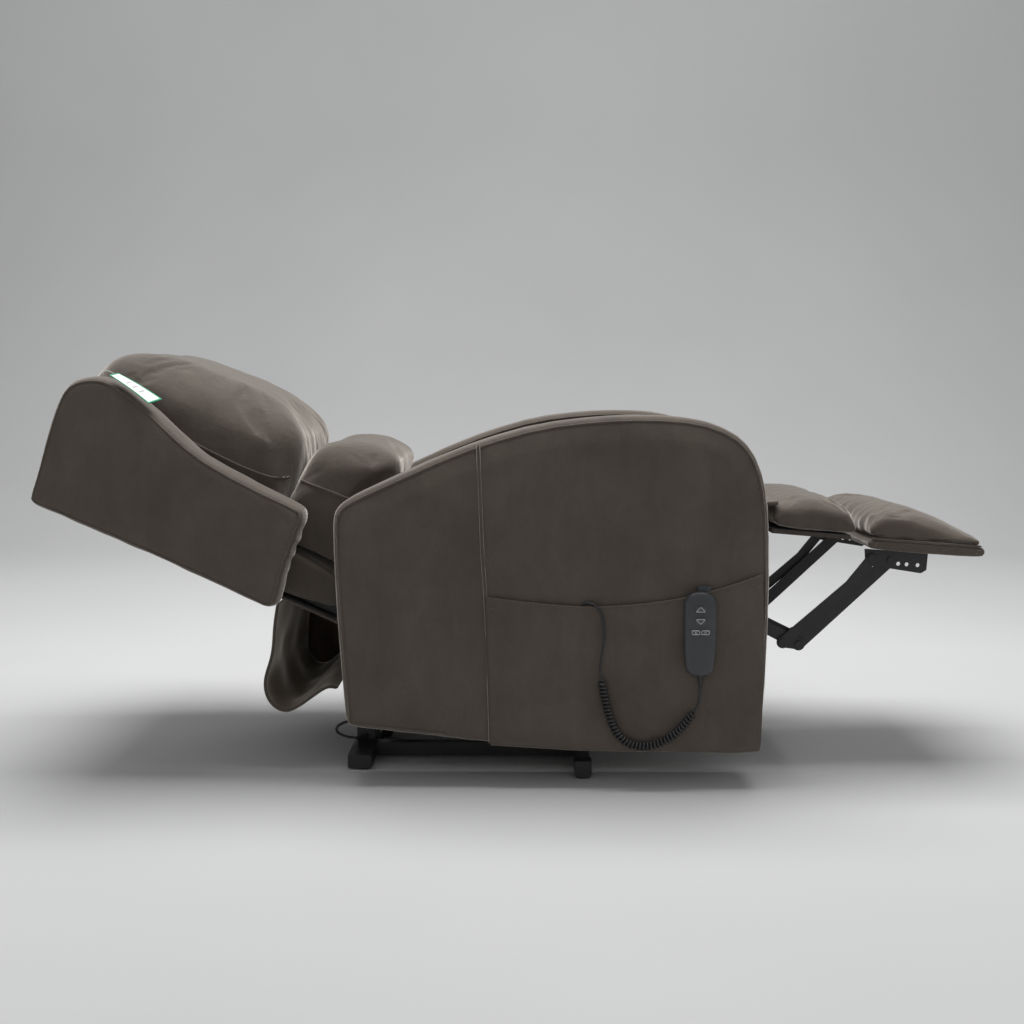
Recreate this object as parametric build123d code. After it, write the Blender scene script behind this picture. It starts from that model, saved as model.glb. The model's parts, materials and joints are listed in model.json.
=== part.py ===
"""Lift recliner chair, modelled fully reclined with its footrest out, in millimetres.

+X points the way the sitter faces, +Y to the sitter's left and +Z up.  The origin is on the
floor, at the middle of the chair's length and width.  Side-view points are written (x, z).
Angles of turn are about +Y, so a positive turn carries the front of a piece down.
"""
from build123d import *
import math
import os

# ---------------------------------------------------------------- overall sizes
ARM_OUTER_Y = 385.0          # outside face of an arm
ARM_THICKNESS = 125.0        # an arm, side to side
CUSHION_HALF_WIDTH = 248.0   # seat, back and footrest cushions, from the middle
BACK_RECLINE = 24.3          # rise of the reclined back's rear face above level, degrees
BACK_LENGTH = 715.0          # back cover's top edge, along the back from the recline pivot
SEAT_TOP_Z = 500.0           # crown of the seat cushion
SEAT_THICKNESS = 98.0
SEAT_REAR_X = -150.0
SEAT_FRONT_X = 394.0

# ---------------------------------------------------------------- plates, pins and clearances
PLATE = 4.0                  # thickness of a steel link or side plate
LAYER = 5.0                  # side-to-side pitch of stacked links
LINK_WIDTH = 20.0
PIN_RADIUS = 5.0
HEAD_RADIUS = 8.0
HEAD_THICKNESS = 2.2
HEAD_GAP = 0.4               # between a rivet's head and the plate under it
RUNNING_GAP = 0.05           # radial clearance of a pin in its hole
OPEN_PIVOT_GAP = 0.6         # clearance round a pin at a pivot that the joint tree opens
FREE_GAP = 0.5               # clearance between separate pieces that stay together

# ---------------------------------------------------------------- arms and side pocket
POCKET_RIM = [(-57.0, 352.0), (129.0, 333.0), (300.0, 350.0), (438.0, 392.0)]
POCKET_REAR_X = -57.0
POCKET_FRONT_X = 438.0
POCKET_BOTTOM_Z = 86.0
POCKET_CLOTH = 3.0
POCKET_ROOM = 7.0            # hollow behind the pocket's cloth
POCKET_SET_BACK = 5.0        # from an arm's outside face in to the pocket's cloth
POCKET_OUTER_Y = ARM_OUTER_Y - POCKET_SET_BACK
POCKET_WALL = 5.0

# ---------------------------------------------------------------- handset
HANDSET_CENTRE_X = 328.0
HANDSET_WIDTH = 57.0
HANDSET_LENGTH = 152.0
HANDSET_BOTTOM_Z = 213.0
HANDSET_THICKNESS = 18.0
HANDSET_WALL_GAP = 1.0       # between the handset's back and the pocket cloth
BUTTON_TRAVEL = 1.0
BUTTON_PROUD = 1.2
BUTTON_POCKET_DEPTH = 4.0
BUTTON_FIT = 0.3

# ---------------------------------------------------------------- curly handset lead
LEAD_RADIUS = 2.5
COIL_RADIUS = 8.5
CORD_Y = -390.0

# ---------------------------------------------------------------- back and its recline pivot
RECLINE_PIVOT = (-190.0, 330.0)
RECLINE_TRAVEL = 50.0
BACK_REAR_N = -107.5         # rear face of the back, measured square to it from the pivot
REAR_PANEL = 6.0
FRAME_TUBE = 25.0
FRAME_OUTER_Y = 215.0
WING_INNER_Y = 266.0
WING_OUTER_Y = 356.0
HINGE_STRAP_END = 190.0      # how far the hinge strap runs up the back frame

# ---------------------------------------------------------------- footrest linkage
SHAFT_PIVOT = (310.0, 360.0)         # lower front link on the side plate
KNEE = (537.0, 241.0)                # lower front link to upper front link
REAR_KNEE = (504.0, 245.0)           # lower front link to upper rear link
TAIL = (529.0, 261.0)                # upper front link to lower rear link
BOARD_FRONT_PIVOT = (709.0, 403.0)
BOARD_REAR_PIVOT = (672.0, 406.0)
STOWED_FRONT_PIVOT = (385.0, 232.0)  # where the board's front pivot goes when folded away
FOOTREST_TURN = 86.0                 # turn of the foot board as it folds away
REAR_LINK_SPACING = 24.0             # lower rear link's pivot above the shaft
SHAFT_RADIUS = 7.0
LINK_BENDS = [(-34.0, 24.5), (-18.0, 42.0), (12.0, 44.0), (42.0, 62.0)]  # round the shaft: degrees, reach
CRANK_RADIUS = 50.0
CALF_HINGE = (435.0, 490.0)

# ---------------------------------------------------------------- lift linkage and glide
LIFT_PIVOT = (100.0, 100.0)          # lift arm on the base
LIFT_ARM_TOP = (-200.0, 130.0)       # lift arm on the lift frame
LIFT_TURN = 70.0                     # turn of the lift arm
LIFT_TILT = 20.0                     # forward tilt of the chair when raised
LINK_PIVOT = (60.0, 60.0)            # lift link on the base
LINK_TOP_REACH = 80.0                # lift link's top pivot, from the lift arm's
LIFT_ARM_WIDTH = 28.0
LIFT_LINK_WIDTH = 24.0
LIFT_TUBE_RADIUS = 9.0
RAIL_TUBE = 25.0
RAIL_INNER_Y = 140.0
RAIL_BOTTOM_Z = 150.0
RAIL_TOP_Z = 180.0
RAIL_REAR_X = -325.0
RAIL_FRONT_X = 117.0

# ---------------------------------------------------------------- base on the floor
REAR_TUBE_X = (-325.0, -280.0)
REAR_TUBE_Z = (4.0, 29.0)
REAR_TUBE_HALF = 250.0
FRONT_TUBE_X = (109.0, 137.0)
FRONT_TUBE_Z = (5.0, 31.0)
FRONT_TUBE_HALF = 306.0
TUBE_WALL = 2.0
BASE_RAIL_Y = (140.0, 165.0)
BASE_RAIL_Z = (6.0, 31.0)

# ---------------------------------------------------------------- side plates and chair tubes
SIDE_PLATE_Y = 222.0
SEAT_RAIL_Y = (190.0, 212.0)
SEAT_RAIL_Z = (374.0, 399.0)
REAR_CHAIR_TUBE_X = -180.0
FRONT_CHAIR_TUBE_X = 60.0
CHAIR_TUBE = 24.0
CHAIR_TUBE_BOTTOM_Z = 190.0
MOTOR_TUBE_BOTTOM_Z = 306.0

# ---------------------------------------------------------------- actuators
LIFT_MOTOR_REAR = (-255.0, 60.0)
LIFT_ROD_PIN = (0.0, 72.0)
RECLINE_MOTOR_FRONT = (150.0, 250.0)
RECLINE_MOTOR_Y = 62.0
LEVER_RADIUS = 85.0
LEVER_ANGLE = 25.0
FOOT_MOTOR_REAR = (60.0, 242.0)
FOOT_MOTOR_Y = -62.0
ROD_RADIUS = 7.0
ROD_BORE_GAP = 0.06
TUBE_RADIUS = 15.0
EYE_HALF_THICKNESS = 5.0
EYE_WALL = 5.0
ACTUATOR_PIN_RADIUS = 5.0
BASE_PLATE_Y = (150.0, 154.0)        # base brackets and the lift frame's ears share this layer
LIFT_ARM_Y = (155.0, 161.0)
LIFT_LINK_Y = (143.0, 149.0)
POWER_BOX_X = (-322.0, -284.0)
POWER_BOX_Y = (-130.0, -50.0)
POWER_BOX_HEIGHT = 60.0
POWER_LEAD = [(-303.0, -130.0, 37.0), (-303.0, -143.0, 37.0), (-317.0, -153.0, 37.0), (-340.0, -153.0, 39.0),
              (-359.0, -152.0, 47.0), (-361.0, -151.0, 58.0), (-348.0, -151.0, 67.0), (-327.0, -153.0, 73.0),
              (-303.0, -153.0, 75.0), (-303.0, -130.0, 75.0)]
BOARD_OUTLINE = [(-296, 70), (-306, 470), (-200, 545), (-60, 602), (60, 636), (236, 650), (330, 640),
                 (376, 616), (404, 570),
                 (420, 494), (424, 352), (416, 60)]
HANDSET_BACK_Y = -(POCKET_OUTER_Y + HANDSET_WALL_GAP)
HANDSET_FACE_Y = HANDSET_BACK_Y - HANDSET_THICKNESS
BUTTONS = {
    "raise_button": (0.0, 121.0, 18.0, 11.0),
    "lower_button": (0.0, 100.0, 18.0, 11.0),
    "recline_out_button": (-8.3, 80.0, 15.0, 11.0),
    "recline_in_button": (8.3, 80.0, 15.0, 11.0),
}
BOOT_END = (HANDSET_CENTRE_X + 2, CORD_Y, HANDSET_BOTTOM_Z - 21.0)
LOWER_LEAD = [BOOT_END, (HANDSET_CENTRE_X + 2, CORD_Y, 176.0), (327.0, CORD_Y, 160.0), (318.0, CORD_Y, 146.0)]
COIL = [(318.0, CORD_Y, 146.0), (300.0, CORD_Y, 118.0), (268.0, CORD_Y, 93.0), (232.0, CORD_Y, 81.0),
        (198.0, CORD_Y, 88.0), (176.0, CORD_Y, 113.0), (165.0, CORD_Y, 146.0), (157.0, CORD_Y, 178.0),
        (152.0, CORD_Y, 206.0)]
UPPER_LEAD = [(152.0, CORD_Y, 206.0), (148.964, CORD_Y, 223.0), (152.0, CORD_Y, 250.0),
              (157.5, -388.5, 280.0),
              (156.0, -387.0, 310.0), (149.0, -385.5, 331.0), (137.0, -381.5, 343.0), (121.0, -375.0, 344.0),
              (109.0, -373.5, 331.0), (103.0, -373.5, 308.0), (104.0, -373.5, 284.0)]
FRAME_N = (BACK_REAR_N + REAR_PANEL + 3.0, BACK_REAR_N + REAR_PANEL + 3.0 + FRAME_TUBE)
FLAP = [(-456.0, 320.0), (-462.0, 280.0), (-471.0, 224.0), (-480.0, 168.0), (-471.0, 126.0), (-446.0, 108.0),
        (-421.0, 118.0), (-391.0, 145.0), (-365.0, 162.0), (-344.0, 158.0)]
FLAP_CLOTH = 3.0
A_Y = (SIDE_PLATE_Y + LAYER, SIDE_PLATE_Y + LAYER + PLATE)             # lower front links, brackets
B_Y = (SIDE_PLATE_Y - LAYER, SIDE_PLATE_Y - LAYER + PLATE)             # lower rear links
F_Y = (SIDE_PLATE_Y, SIDE_PLATE_Y + PLATE)                             # upper front links
R_Y = (SIDE_PLATE_Y + 2 * LAYER, SIDE_PLATE_Y + 2 * LAYER + PLATE)     # upper rear links
BOARD_TILT = 4.1
BOARD_REAR = (663.0, 446.5)          # rear end of the board's upper face
BOARD_LENGTH = 220.0
BOARD_THICKNESS = 22.0
CALF_STRAP = [(486.0, 459.0), (524.0, 456.0)]
CALF_STRAP_Y = (205.0, 208.0)


# ================================================================ plane geometry
def turned(point, centre, degrees):
    """A side-view point after a turn about +Y through centre."""
    angle = math.radians(degrees)
    dx = point[0] - centre[0]
    dz = point[1] - centre[1]
    x = centre[0] + dx * math.cos(angle) + dz * math.sin(angle)
    z = centre[1] - dx * math.sin(angle) + dz * math.cos(angle)
    return (x, z)


def bearing(start, end):
    """Degrees from +X towards +Z of the line from start to end."""
    return math.degrees(math.atan2(end[1] - start[1], end[0] - start[0]))


def at_bearing(start, degrees, length):
    angle = math.radians(degrees)
    return (start[0] + length * math.cos(angle), start[1] + length * math.sin(angle))


def half_turn(degrees):
    """The same angle, between -180 and 180."""
    return (degrees + 180.0) % 360.0 - 180.0


def between(start, end, share):
    return (start[0] + share * (end[0] - start[0]), start[1] + share * (end[1] - start[1]))


def root(function, low, high):
    """Where a function changes sign between low and high."""
    low_value = function(low)
    if low_value * function(high) > 0:
        raise ValueError("the linkage can't close with these sizes")
    for _ in range(60):
        middle = (low + high) / 2
        if low_value * function(middle) > 0:
            low = middle
        else:
            high = middle
    return (low + high) / 2


def back_point(s, n):
    """The side-view point s up the reclined back and n forward of the recline pivot, square to it."""
    rise = math.radians(BACK_RECLINE)
    x = RECLINE_PIVOT[0] - s * math.cos(rise) + n * math.sin(rise)
    z = RECLINE_PIVOT[1] + s * math.sin(rise) + n * math.cos(rise)
    return (x, z)


# ================================================================ linkages, solved at both ends
def footrest_linkage():
    """Turns of the footrest's links between out and folded away, and the two free pivots.

    The lower front link and the upper front link reach the board's pivot like an arm and a
    forearm.  The rear knee and the lower rear link's pivot are placed so that the other two
    bars have the same length at both ends of the travel.
    """
    upper = math.dist(SHAFT_PIVOT, KNEE)
    fore = math.dist(KNEE, BOARD_FRONT_PIVOT)
    reach = math.dist(SHAFT_PIVOT, STOWED_FRONT_PIVOT)
    bend = math.degrees(math.acos((upper**2 + reach**2 - fore**2) / (2 * upper * reach)))
    stowed_bearing = bearing(SHAFT_PIVOT, STOWED_FRONT_PIVOT) - bend
    lower_turn = half_turn(bearing(SHAFT_PIVOT, KNEE) - stowed_bearing)
    knee = turned(KNEE, SHAFT_PIVOT, lower_turn)
    upper_turn = half_turn(bearing(KNEE, BOARD_FRONT_PIVOT) - bearing(knee, STOWED_FRONT_PIVOT))
    offset = (BOARD_REAR_PIVOT[0] - BOARD_FRONT_PIVOT[0], BOARD_REAR_PIVOT[1] - BOARD_FRONT_PIVOT[1])
    swung = turned(offset, (0.0, 0.0), FOOTREST_TURN)
    rear_board = (STOWED_FRONT_PIVOT[0] + swung[0], STOWED_FRONT_PIVOT[1] + swung[1])

    def rear_knee_error(x):
        point = (x, REAR_KNEE[1])
        folded = turned(point, SHAFT_PIVOT, lower_turn)
        return math.dist(point, BOARD_REAR_PIVOT) - math.dist(folded, rear_board)

    rear_knee = (root(rear_knee_error, REAR_KNEE[0] - 25, REAR_KNEE[0] + 25), REAR_KNEE[1])
    folded_rear_knee = turned(rear_knee, SHAFT_PIVOT, lower_turn)
    rear_turn = half_turn(bearing(rear_knee, BOARD_REAR_PIVOT) - bearing(folded_rear_knee, rear_board))
    tail = add_turned(TAIL, KNEE, knee, upper_turn)

    def rear_pivot_error(angle):
        point = at_bearing(SHAFT_PIVOT, angle, REAR_LINK_SPACING)
        return math.dist(point, TAIL) - math.dist(point, tail)

    rear_pivot = at_bearing(SHAFT_PIVOT, root(rear_pivot_error, 60.0, 170.0), REAR_LINK_SPACING)
    link_turn = half_turn(bearing(rear_pivot, TAIL) - bearing(rear_pivot, tail))
    return {"lower": lower_turn, "upper": upper_turn, "rear": rear_turn, "link": link_turn,
            "rear_knee": rear_knee, "rear_pivot": rear_pivot}


def add_turned(point, start, end, degrees):
    """The point carried along with a link whose pivot moves from start to end as it turns."""
    swung = turned(point, start, degrees)
    return (swung[0] + end[0] - start[0], swung[1] + end[1] - start[1])


def lift_linkage():
    """The lift link's top pivot, and its turn, so that the link closes lowered and raised."""
    raised_top = turned(LIFT_ARM_TOP, LIFT_PIVOT, LIFT_TURN)

    def raised(point):
        return add_turned(point, LIFT_ARM_TOP, raised_top, LIFT_TILT)

    def error(angle):
        point = at_bearing(LIFT_ARM_TOP, angle, LINK_TOP_REACH)
        return math.dist(point, LINK_PIVOT) - math.dist(raised(point), LINK_PIVOT)

    link_top = at_bearing(LIFT_ARM_TOP, root(error, 200.0, 245.0), LINK_TOP_REACH)
    turn = half_turn(bearing(LINK_PIVOT, link_top) - bearing(LINK_PIVOT, raised(link_top)))
    return {"link_top": link_top, "turn": turn}


FOOT = footrest_linkage()
LIFT = lift_linkage()


def lift_pin_at(share):
    return turned(LIFT_ROD_PIN, LIFT_PIVOT, LIFT_TURN * share)


LEVER_PIN = at_bearing(RECLINE_PIVOT, -90.0 + LEVER_ANGLE, LEVER_RADIUS)
CRANK_PIN = at_bearing(SHAFT_PIVOT, bearing(SHAFT_PIVOT, KNEE), CRANK_RADIUS)


def lever_pin_at(share):
    return turned(LEVER_PIN, RECLINE_PIVOT, RECLINE_TRAVEL * share)


def crank_pin_at(share):
    return turned(CRANK_PIN, SHAFT_PIVOT, FOOT["lower"] * share)


def actuator_motion(mount, pin_at):
    """Turn of an actuator and stroke of its rod, and how far the pin strays from the rod's eye.

    Body and rod move in fixed proportion to the joint that they drive, so the eye meets its
    pin exactly at both ends of the travel.  The stray, along and across the rod, sizes the
    slot in the eye.
    """
    first = pin_at(0.0)
    last = pin_at(1.0)
    turn = half_turn(bearing(mount, first) - bearing(mount, last))
    stroke = math.dist(mount, last) - math.dist(mount, first)
    along = [0.0]
    across = [0.0]
    steps = 24
    for i in range(1, steps):
        share = i / steps
        pin = turned(pin_at(share), mount, -turn * share)
        direction = math.radians(bearing(mount, first))
        dx = pin[0] - first[0]
        dz = pin[1] - first[1]
        along.append(dx * math.cos(direction) + dz * math.sin(direction) - stroke * share)
        across.append(-dx * math.sin(direction) + dz * math.cos(direction))
    return {"turn": turn, "stroke": stroke, "along": (min(along), max(along)),
            "across": (min(across), max(across))}


LIFT_DRIVE = actuator_motion(LIFT_MOTOR_REAR, lift_pin_at)
RECLINE_DRIVE = actuator_motion(RECLINE_MOTOR_FRONT, lever_pin_at)
FOOT_DRIVE = actuator_motion(FOOT_MOTOR_REAR, crank_pin_at)


# ================================================================ solids
def block(x0, x1, y0, y1, z0, z1):
    centre = Pos((x0 + x1) / 2, (y0 + y1) / 2, (z0 + z1) / 2)
    return centre * Box(x1 - x0, y1 - y0, z1 - z0)


def side_face(points):
    """A flat face in the side plane."""
    return make_face(Polyline([(x, 0, z) for x, z in points], close=True))


def side_prism(points, y0, y1):
    return Pos(0, y0, 0) * extrude(side_face(points), amount=y1 - y0, dir=(0, 1, 0))


def side_cylinder(centre, radius, y0, y1):
    """A round bar across the chair."""
    place = Location((centre[0], (y0 + y1) / 2, centre[1]), (90, 0, 0))
    return place * Cylinder(radius, y1 - y0)


def link_bar(start, end, width, y0, y1):
    """A flat bar with round ends, from pivot to pivot."""
    length = math.dist(start, end)
    middle = between(start, end, 0.5)
    place = Location((middle[0], (y0 + y1) / 2, middle[1]), (0, -bearing(start, end), 0))
    bar = Box(length, y1 - y0, width)
    return place * bar + side_cylinder(start, width / 2, y0, y1) + side_cylinder(end, width / 2, y0, y1)


def drilled(solid, centres, radius, y0, y1):
    for centre in centres:
        solid -= side_cylinder(centre, radius, y0 - 1, y1 + 1)
    return solid


def mirrored(solid):
    """The same piece on the other side of the chair."""
    return mirror(solid, about=Plane.XZ)


def pair(solid):
    """A piece and its mirror image, as two separate solids."""
    return Compound(children=[solid, mirrored(solid)])


def group(*solids):
    return Compound(children=[piece for piece in solids])


def both_sides(*solids):
    """Separate solids and their mirror images."""
    return group(*solids, *[mirrored(solid) for solid in solids])


def stretched_hole(centre, direction, along, across, radius, y0, y1):
    """A slot round every place where the pin goes, with its corners square to the rod."""
    room = radius + OPEN_PIVOT_GAP
    length = along[1] - along[0] + 2 * room
    width = across[1] - across[0] + 2 * room
    shift = ((along[0] + along[1]) / 2, (across[0] + across[1]) / 2)
    place = Location((centre[0], (y0 + y1) / 2, centre[1]), (0, -direction, 0))
    return place * Pos(shift[0], 0, shift[1]) * Box(length, y1 - y0 + 2, width)


def stray_slot(centre, paths, radius, y0, y1):
    """A slot in the side plane that holds a pin of this radius at every point of its stray."""
    room = radius + OPEN_PIVOT_GAP
    xs = [point[0] for point in paths]
    zs = [point[1] for point in paths]
    x0 = centre[0] + min(xs) - room
    x1 = centre[0] + max(xs) + room
    z0 = centre[1] + min(zs) - room
    z1 = centre[1] + max(zs) + room
    return block(x0, x1, y0 - 1, y1 + 1, z0, z1)


def rivet(centre, y0, y1, inner_head, outer_head, radius=PIN_RADIUS, head=HEAD_RADIUS):
    """A rivet through plates from y0 out to y1, with a head on either or both ends."""
    start = y0 - HEAD_GAP * inner_head
    end = y1 + HEAD_GAP * outer_head
    solid = side_cylinder(centre, radius, start, end)
    if inner_head:
        solid += side_cylinder(centre, head, start - HEAD_THICKNESS, start)
    if outer_head:
        solid += side_cylinder(centre, head, end, end + HEAD_THICKNESS)
    return solid


# ================================================================ base
def box_tube(x0, x1, y0, y1, z0, z1, axis):
    """A square tube, hollow along axis 0 (X) or 1 (Y)."""
    solid = block(x0, x1, y0, y1, z0, z1)
    if axis == 0:
        return solid - block(x0 - 1, x1 + 1, y0 + TUBE_WALL, y1 - TUBE_WALL, z0 + TUBE_WALL, z1 - TUBE_WALL)
    return solid - block(x0 + TUBE_WALL, x1 - TUBE_WALL, y0 - 1, y1 + 1, z0 + TUBE_WALL, z1 - TUBE_WALL)


def base_rear_tube():
    tube = box_tube(*REAR_TUBE_X, -REAR_TUBE_HALF, REAR_TUBE_HALF, *REAR_TUBE_Z, 1)
    middle = sum(REAR_TUBE_X) / 2
    for y in (REAR_TUBE_HALF - 25, REAR_TUBE_HALF - 45):
        for side in (-1, 1):
            hole = Pos(middle, side * y, REAR_TUBE_Z[1]) * Cylinder(3.0, 3 * TUBE_WALL)
            tube -= hole
    return group(tube, *lift_motor_ears())


def base_front_tube():
    return box_tube(*FRONT_TUBE_X, -FRONT_TUBE_HALF, FRONT_TUBE_HALF, *FRONT_TUBE_Z, 1)


def base_side_rails():
    rail = box_tube(REAR_TUBE_X[1], FRONT_TUBE_X[0], *BASE_RAIL_Y, *BASE_RAIL_Z, 0)
    return pair(rail)


def base_end_caps():
    """Plastic plugs in the rear tube's ends, round glides under it, and the front tube's feet."""
    flange = block(*REAR_TUBE_X, REAR_TUBE_HALF, REAR_TUBE_HALF + 4, *REAR_TUBE_Z)
    flange = fillet(flange.edges().filter_by(Axis.Y), 3.0)
    inset = TUBE_WALL + FREE_GAP
    spigot = block(REAR_TUBE_X[0] + inset, REAR_TUBE_X[1] - inset, REAR_TUBE_HALF - 14, REAR_TUBE_HALF,
                   REAR_TUBE_Z[0] + inset, REAR_TUBE_Z[1] - inset)
    x = sum(REAR_TUBE_X) / 2 + 6
    glide = Pos(x, REAR_TUBE_HALF - 12, REAR_TUBE_Z[0] / 2) * Cylinder(11.0, REAR_TUBE_Z[0])
    outer = 2.0
    cap = block(FRONT_TUBE_X[0] - outer, FRONT_TUBE_X[1] + outer, FRONT_TUBE_HALF - 26, FRONT_TUBE_HALF + 4,
                0.0, FRONT_TUBE_Z[1] + outer)
    cap = fillet(cap.edges().filter_by(Axis.Y).group_by(Axis.Z)[0], 11.0)
    socket = block(FRONT_TUBE_X[0] - FREE_GAP / 2, FRONT_TUBE_X[1] + FREE_GAP / 2,
                   FRONT_TUBE_HALF - 27, FRONT_TUBE_HALF + FREE_GAP / 2,
                   FRONT_TUBE_Z[0], FRONT_TUBE_Z[1] + FREE_GAP / 2)
    return both_sides(flange + spigot, glide, cap - socket)


def base_brackets():
    """Upright plates that carry the lift arms and lift links, with their pins."""
    foot = BASE_RAIL_Z[1]
    outline = [(42, foot), (108, foot), (118, 84), (118, 108), (108, 118), (88, 118), (48, 78), (42, 66)]
    plate = side_prism(outline, *BASE_PLATE_Y)
    plate = drilled(plate, [LIFT_PIVOT, LINK_PIVOT], PIN_RADIUS + 1 + RUNNING_GAP, *BASE_PLATE_Y)
    arm_pin = rivet(LIFT_PIVOT, BASE_PLATE_Y[0], LIFT_ARM_Y[1], False, True, PIN_RADIUS + 1, 10.0)
    link_pin = rivet(LINK_PIVOT, LIFT_LINK_Y[0], BASE_PLATE_Y[1], True, False, PIN_RADIUS + 1, 10.0)
    return both_sides(plate, arm_pin, link_pin)


def lift_motor_ears():
    """Two ears that stand forward of the rear tube, and the pin that holds the lift motor."""
    x, z = LIFT_MOTOR_REAR
    ears = []
    for side in (-1, 1):
        y0 = 23.0 if side > 0 else -28.0
        outline = [(REAR_TUBE_X[1], 8), (REAR_TUBE_X[1] + 16, 8), (x + 14, z - 8), (x + 14, z + 8),
                   (x + 6, z + 14),
                   (x - 8, z + 14), (REAR_TUBE_X[1], 29)]
        ears.append(drilled(side_prism(outline, y0, y0 + 5), [LIFT_MOTOR_REAR],
                            ACTUATOR_PIN_RADIUS + RUNNING_GAP, y0, y0 + 5))
    return [*ears, side_cylinder(LIFT_MOTOR_REAR, ACTUATOR_PIN_RADIUS, -31.0, 31.0)]


def power_box():
    """Control box with the power supply, on top of the rear tube."""
    box = block(*POWER_BOX_X, *POWER_BOX_Y, REAR_TUBE_Z[1], REAR_TUBE_Z[1] + POWER_BOX_HEIGHT)
    return fillet(box.edges().filter_by(Axis.Z), 4.0)


# ================================================================ lift arms, links and frame
def lift_arms():
    arm = link_bar(LIFT_PIVOT, LIFT_ARM_TOP, LIFT_ARM_WIDTH, *LIFT_ARM_Y)
    return pair(drilled(arm, [LIFT_PIVOT, LIFT_ARM_TOP], PIN_RADIUS + 1 + RUNNING_GAP, *LIFT_ARM_Y))


def lift_tube_centre():
    """Where the cross tube sits on the lift arm, straight above the rod's pin."""
    share = (LIFT_PIVOT[0] - LIFT_ROD_PIN[0]) / (LIFT_PIVOT[0] - LIFT_ARM_TOP[0])
    return between(LIFT_PIVOT, LIFT_ARM_TOP, share)


def lift_cross_tube():
    """Round tube between the lift arms, with two lugs and the pin that the lift rod pushes."""
    centre = lift_tube_centre()
    tube = side_cylinder(centre, LIFT_TUBE_RADIUS, -LIFT_ARM_Y[0], LIFT_ARM_Y[0])
    tube -= side_cylinder(centre, LIFT_TUBE_RADIUS - 2.5, -LIFT_ARM_Y[0] - 1, LIFT_ARM_Y[0] + 1)
    lugs = []
    for y0 in (-13.0, 8.0):
        lug = link_bar(centre, LIFT_ROD_PIN, 22.0, y0, y0 + 5)
        lug -= side_cylinder(centre, LIFT_TUBE_RADIUS, y0 - 1, y0 + 6)
        lugs.append(drilled(lug, [LIFT_ROD_PIN], ACTUATOR_PIN_RADIUS + RUNNING_GAP, y0, y0 + 5))
    pin = side_cylinder(LIFT_ROD_PIN, ACTUATOR_PIN_RADIUS, -15.0, 15.0)
    return group(tube, *lugs, pin)


def lift_links():
    """The second link of each side, with the opened pivot's slot at its top."""
    top = LIFT["link_top"]
    bar = link_bar(LINK_PIVOT, top, LIFT_LINK_WIDTH, *LIFT_LINK_Y)
    bar = drilled(bar, [LINK_PIVOT], PIN_RADIUS + 1 + RUNNING_GAP, *LIFT_LINK_Y)
    stray = []
    for i in range(25):
        share = i / 24
        arm_top = turned(LIFT_ARM_TOP, LIFT_PIVOT, LIFT_TURN * share)
        frame_pin = add_turned(top, LIFT_ARM_TOP, arm_top, LIFT_TILT * share)
        seen = turned(frame_pin, LINK_PIVOT, -LIFT["turn"] * share)
        stray.append((seen[0] - top[0], seen[1] - top[1]))
    bar += side_cylinder(top, LIFT_LINK_WIDTH / 2 + 4, *LIFT_LINK_Y)
    return pair(bar - stray_slot(top, stray, PIN_RADIUS, *LIFT_LINK_Y))


def lift_frame():
    """Two square rails that the chair glides on, their cross tubes, and plates with pins for the links."""
    top = LIFT["link_top"]
    rail = box_tube(RAIL_REAR_X, RAIL_FRONT_X, RAIL_INNER_Y, RAIL_INNER_Y + RAIL_TUBE, RAIL_BOTTOM_Z,
                    RAIL_TOP_Z, 0)
    outline = [(top[0] - 16, RAIL_BOTTOM_Z), (top[0] - 16, top[1]), (top[0] - 8, top[1] - 13),
               (top[0] + 10, top[1] - 13), (LIFT_ARM_TOP[0] + 10, LIFT_ARM_TOP[1] - 14),
               (LIFT_ARM_TOP[0] + 18, LIFT_ARM_TOP[1] - 4), (LIFT_ARM_TOP[0] + 18, RAIL_BOTTOM_Z)]
    ear = side_prism(outline, *BASE_PLATE_Y)
    ear = drilled(ear, [LIFT_ARM_TOP], PIN_RADIUS + 1 + RUNNING_GAP, *BASE_PLATE_Y)
    ear = drilled(ear, [top], PIN_RADIUS + RUNNING_GAP, *BASE_PLATE_Y)
    arm_pin = rivet(LIFT_ARM_TOP, BASE_PLATE_Y[0], LIFT_ARM_Y[1], False, True, PIN_RADIUS + 1, 10.0)
    link_pin = rivet(LIFT["link_top"], LIFT_LINK_Y[0], BASE_PLATE_Y[1], True, False, PIN_RADIUS, 9.0)
    sides = both_sides(rail + ear, arm_pin, link_pin)
    tubes = [box_tube(x, x + RAIL_TUBE, -RAIL_INNER_Y, RAIL_INNER_Y, RAIL_BOTTOM_Z + 2, RAIL_TOP_Z - 12, 1)
             for x in (RAIL_REAR_X, RAIL_FRONT_X - RAIL_TUBE)]
    return group(sides, *tubes)


# ================================================================ actuators
def along_actuator(mount, front):
    """The place of an actuator's own frame: X along the rod, from the mount's pin."""
    return Location((mount[0], 0, mount[1]), (0, -bearing(mount, front), 0))


def motor_housing(mount, front, y, can_side):
    """Gearbox with its rear eye, and the round motor that lies beside the tube."""
    gearbox = fillet(block(12, 62, -21, 21, -22, 22).edges().filter_by(Axis.X), 6.0)
    eye = block(-2, 14, -12, 12, -12, 12) + side_cylinder((0, 0), 12, -12, 12)
    eye -= side_cylinder((0, 0), ACTUATOR_PIN_RADIUS + RUNNING_GAP, -13, 13)
    can = Location((92, can_side * 41, 0), (0, 90, 0)) * Cylinder(20, 120)
    neck = block(20, 60, min(can_side * 15, can_side * 41), max(can_side * 15, can_side * 41), -14, 14)
    housing = gearbox + eye + can + neck
    housing -= Location((62, 0, 0), (0, 90, 0)) * Cylinder(TUBE_RADIUS, 24)
    return along_actuator(mount, front) * housing.moved(Location((0, y, 0)))


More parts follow.
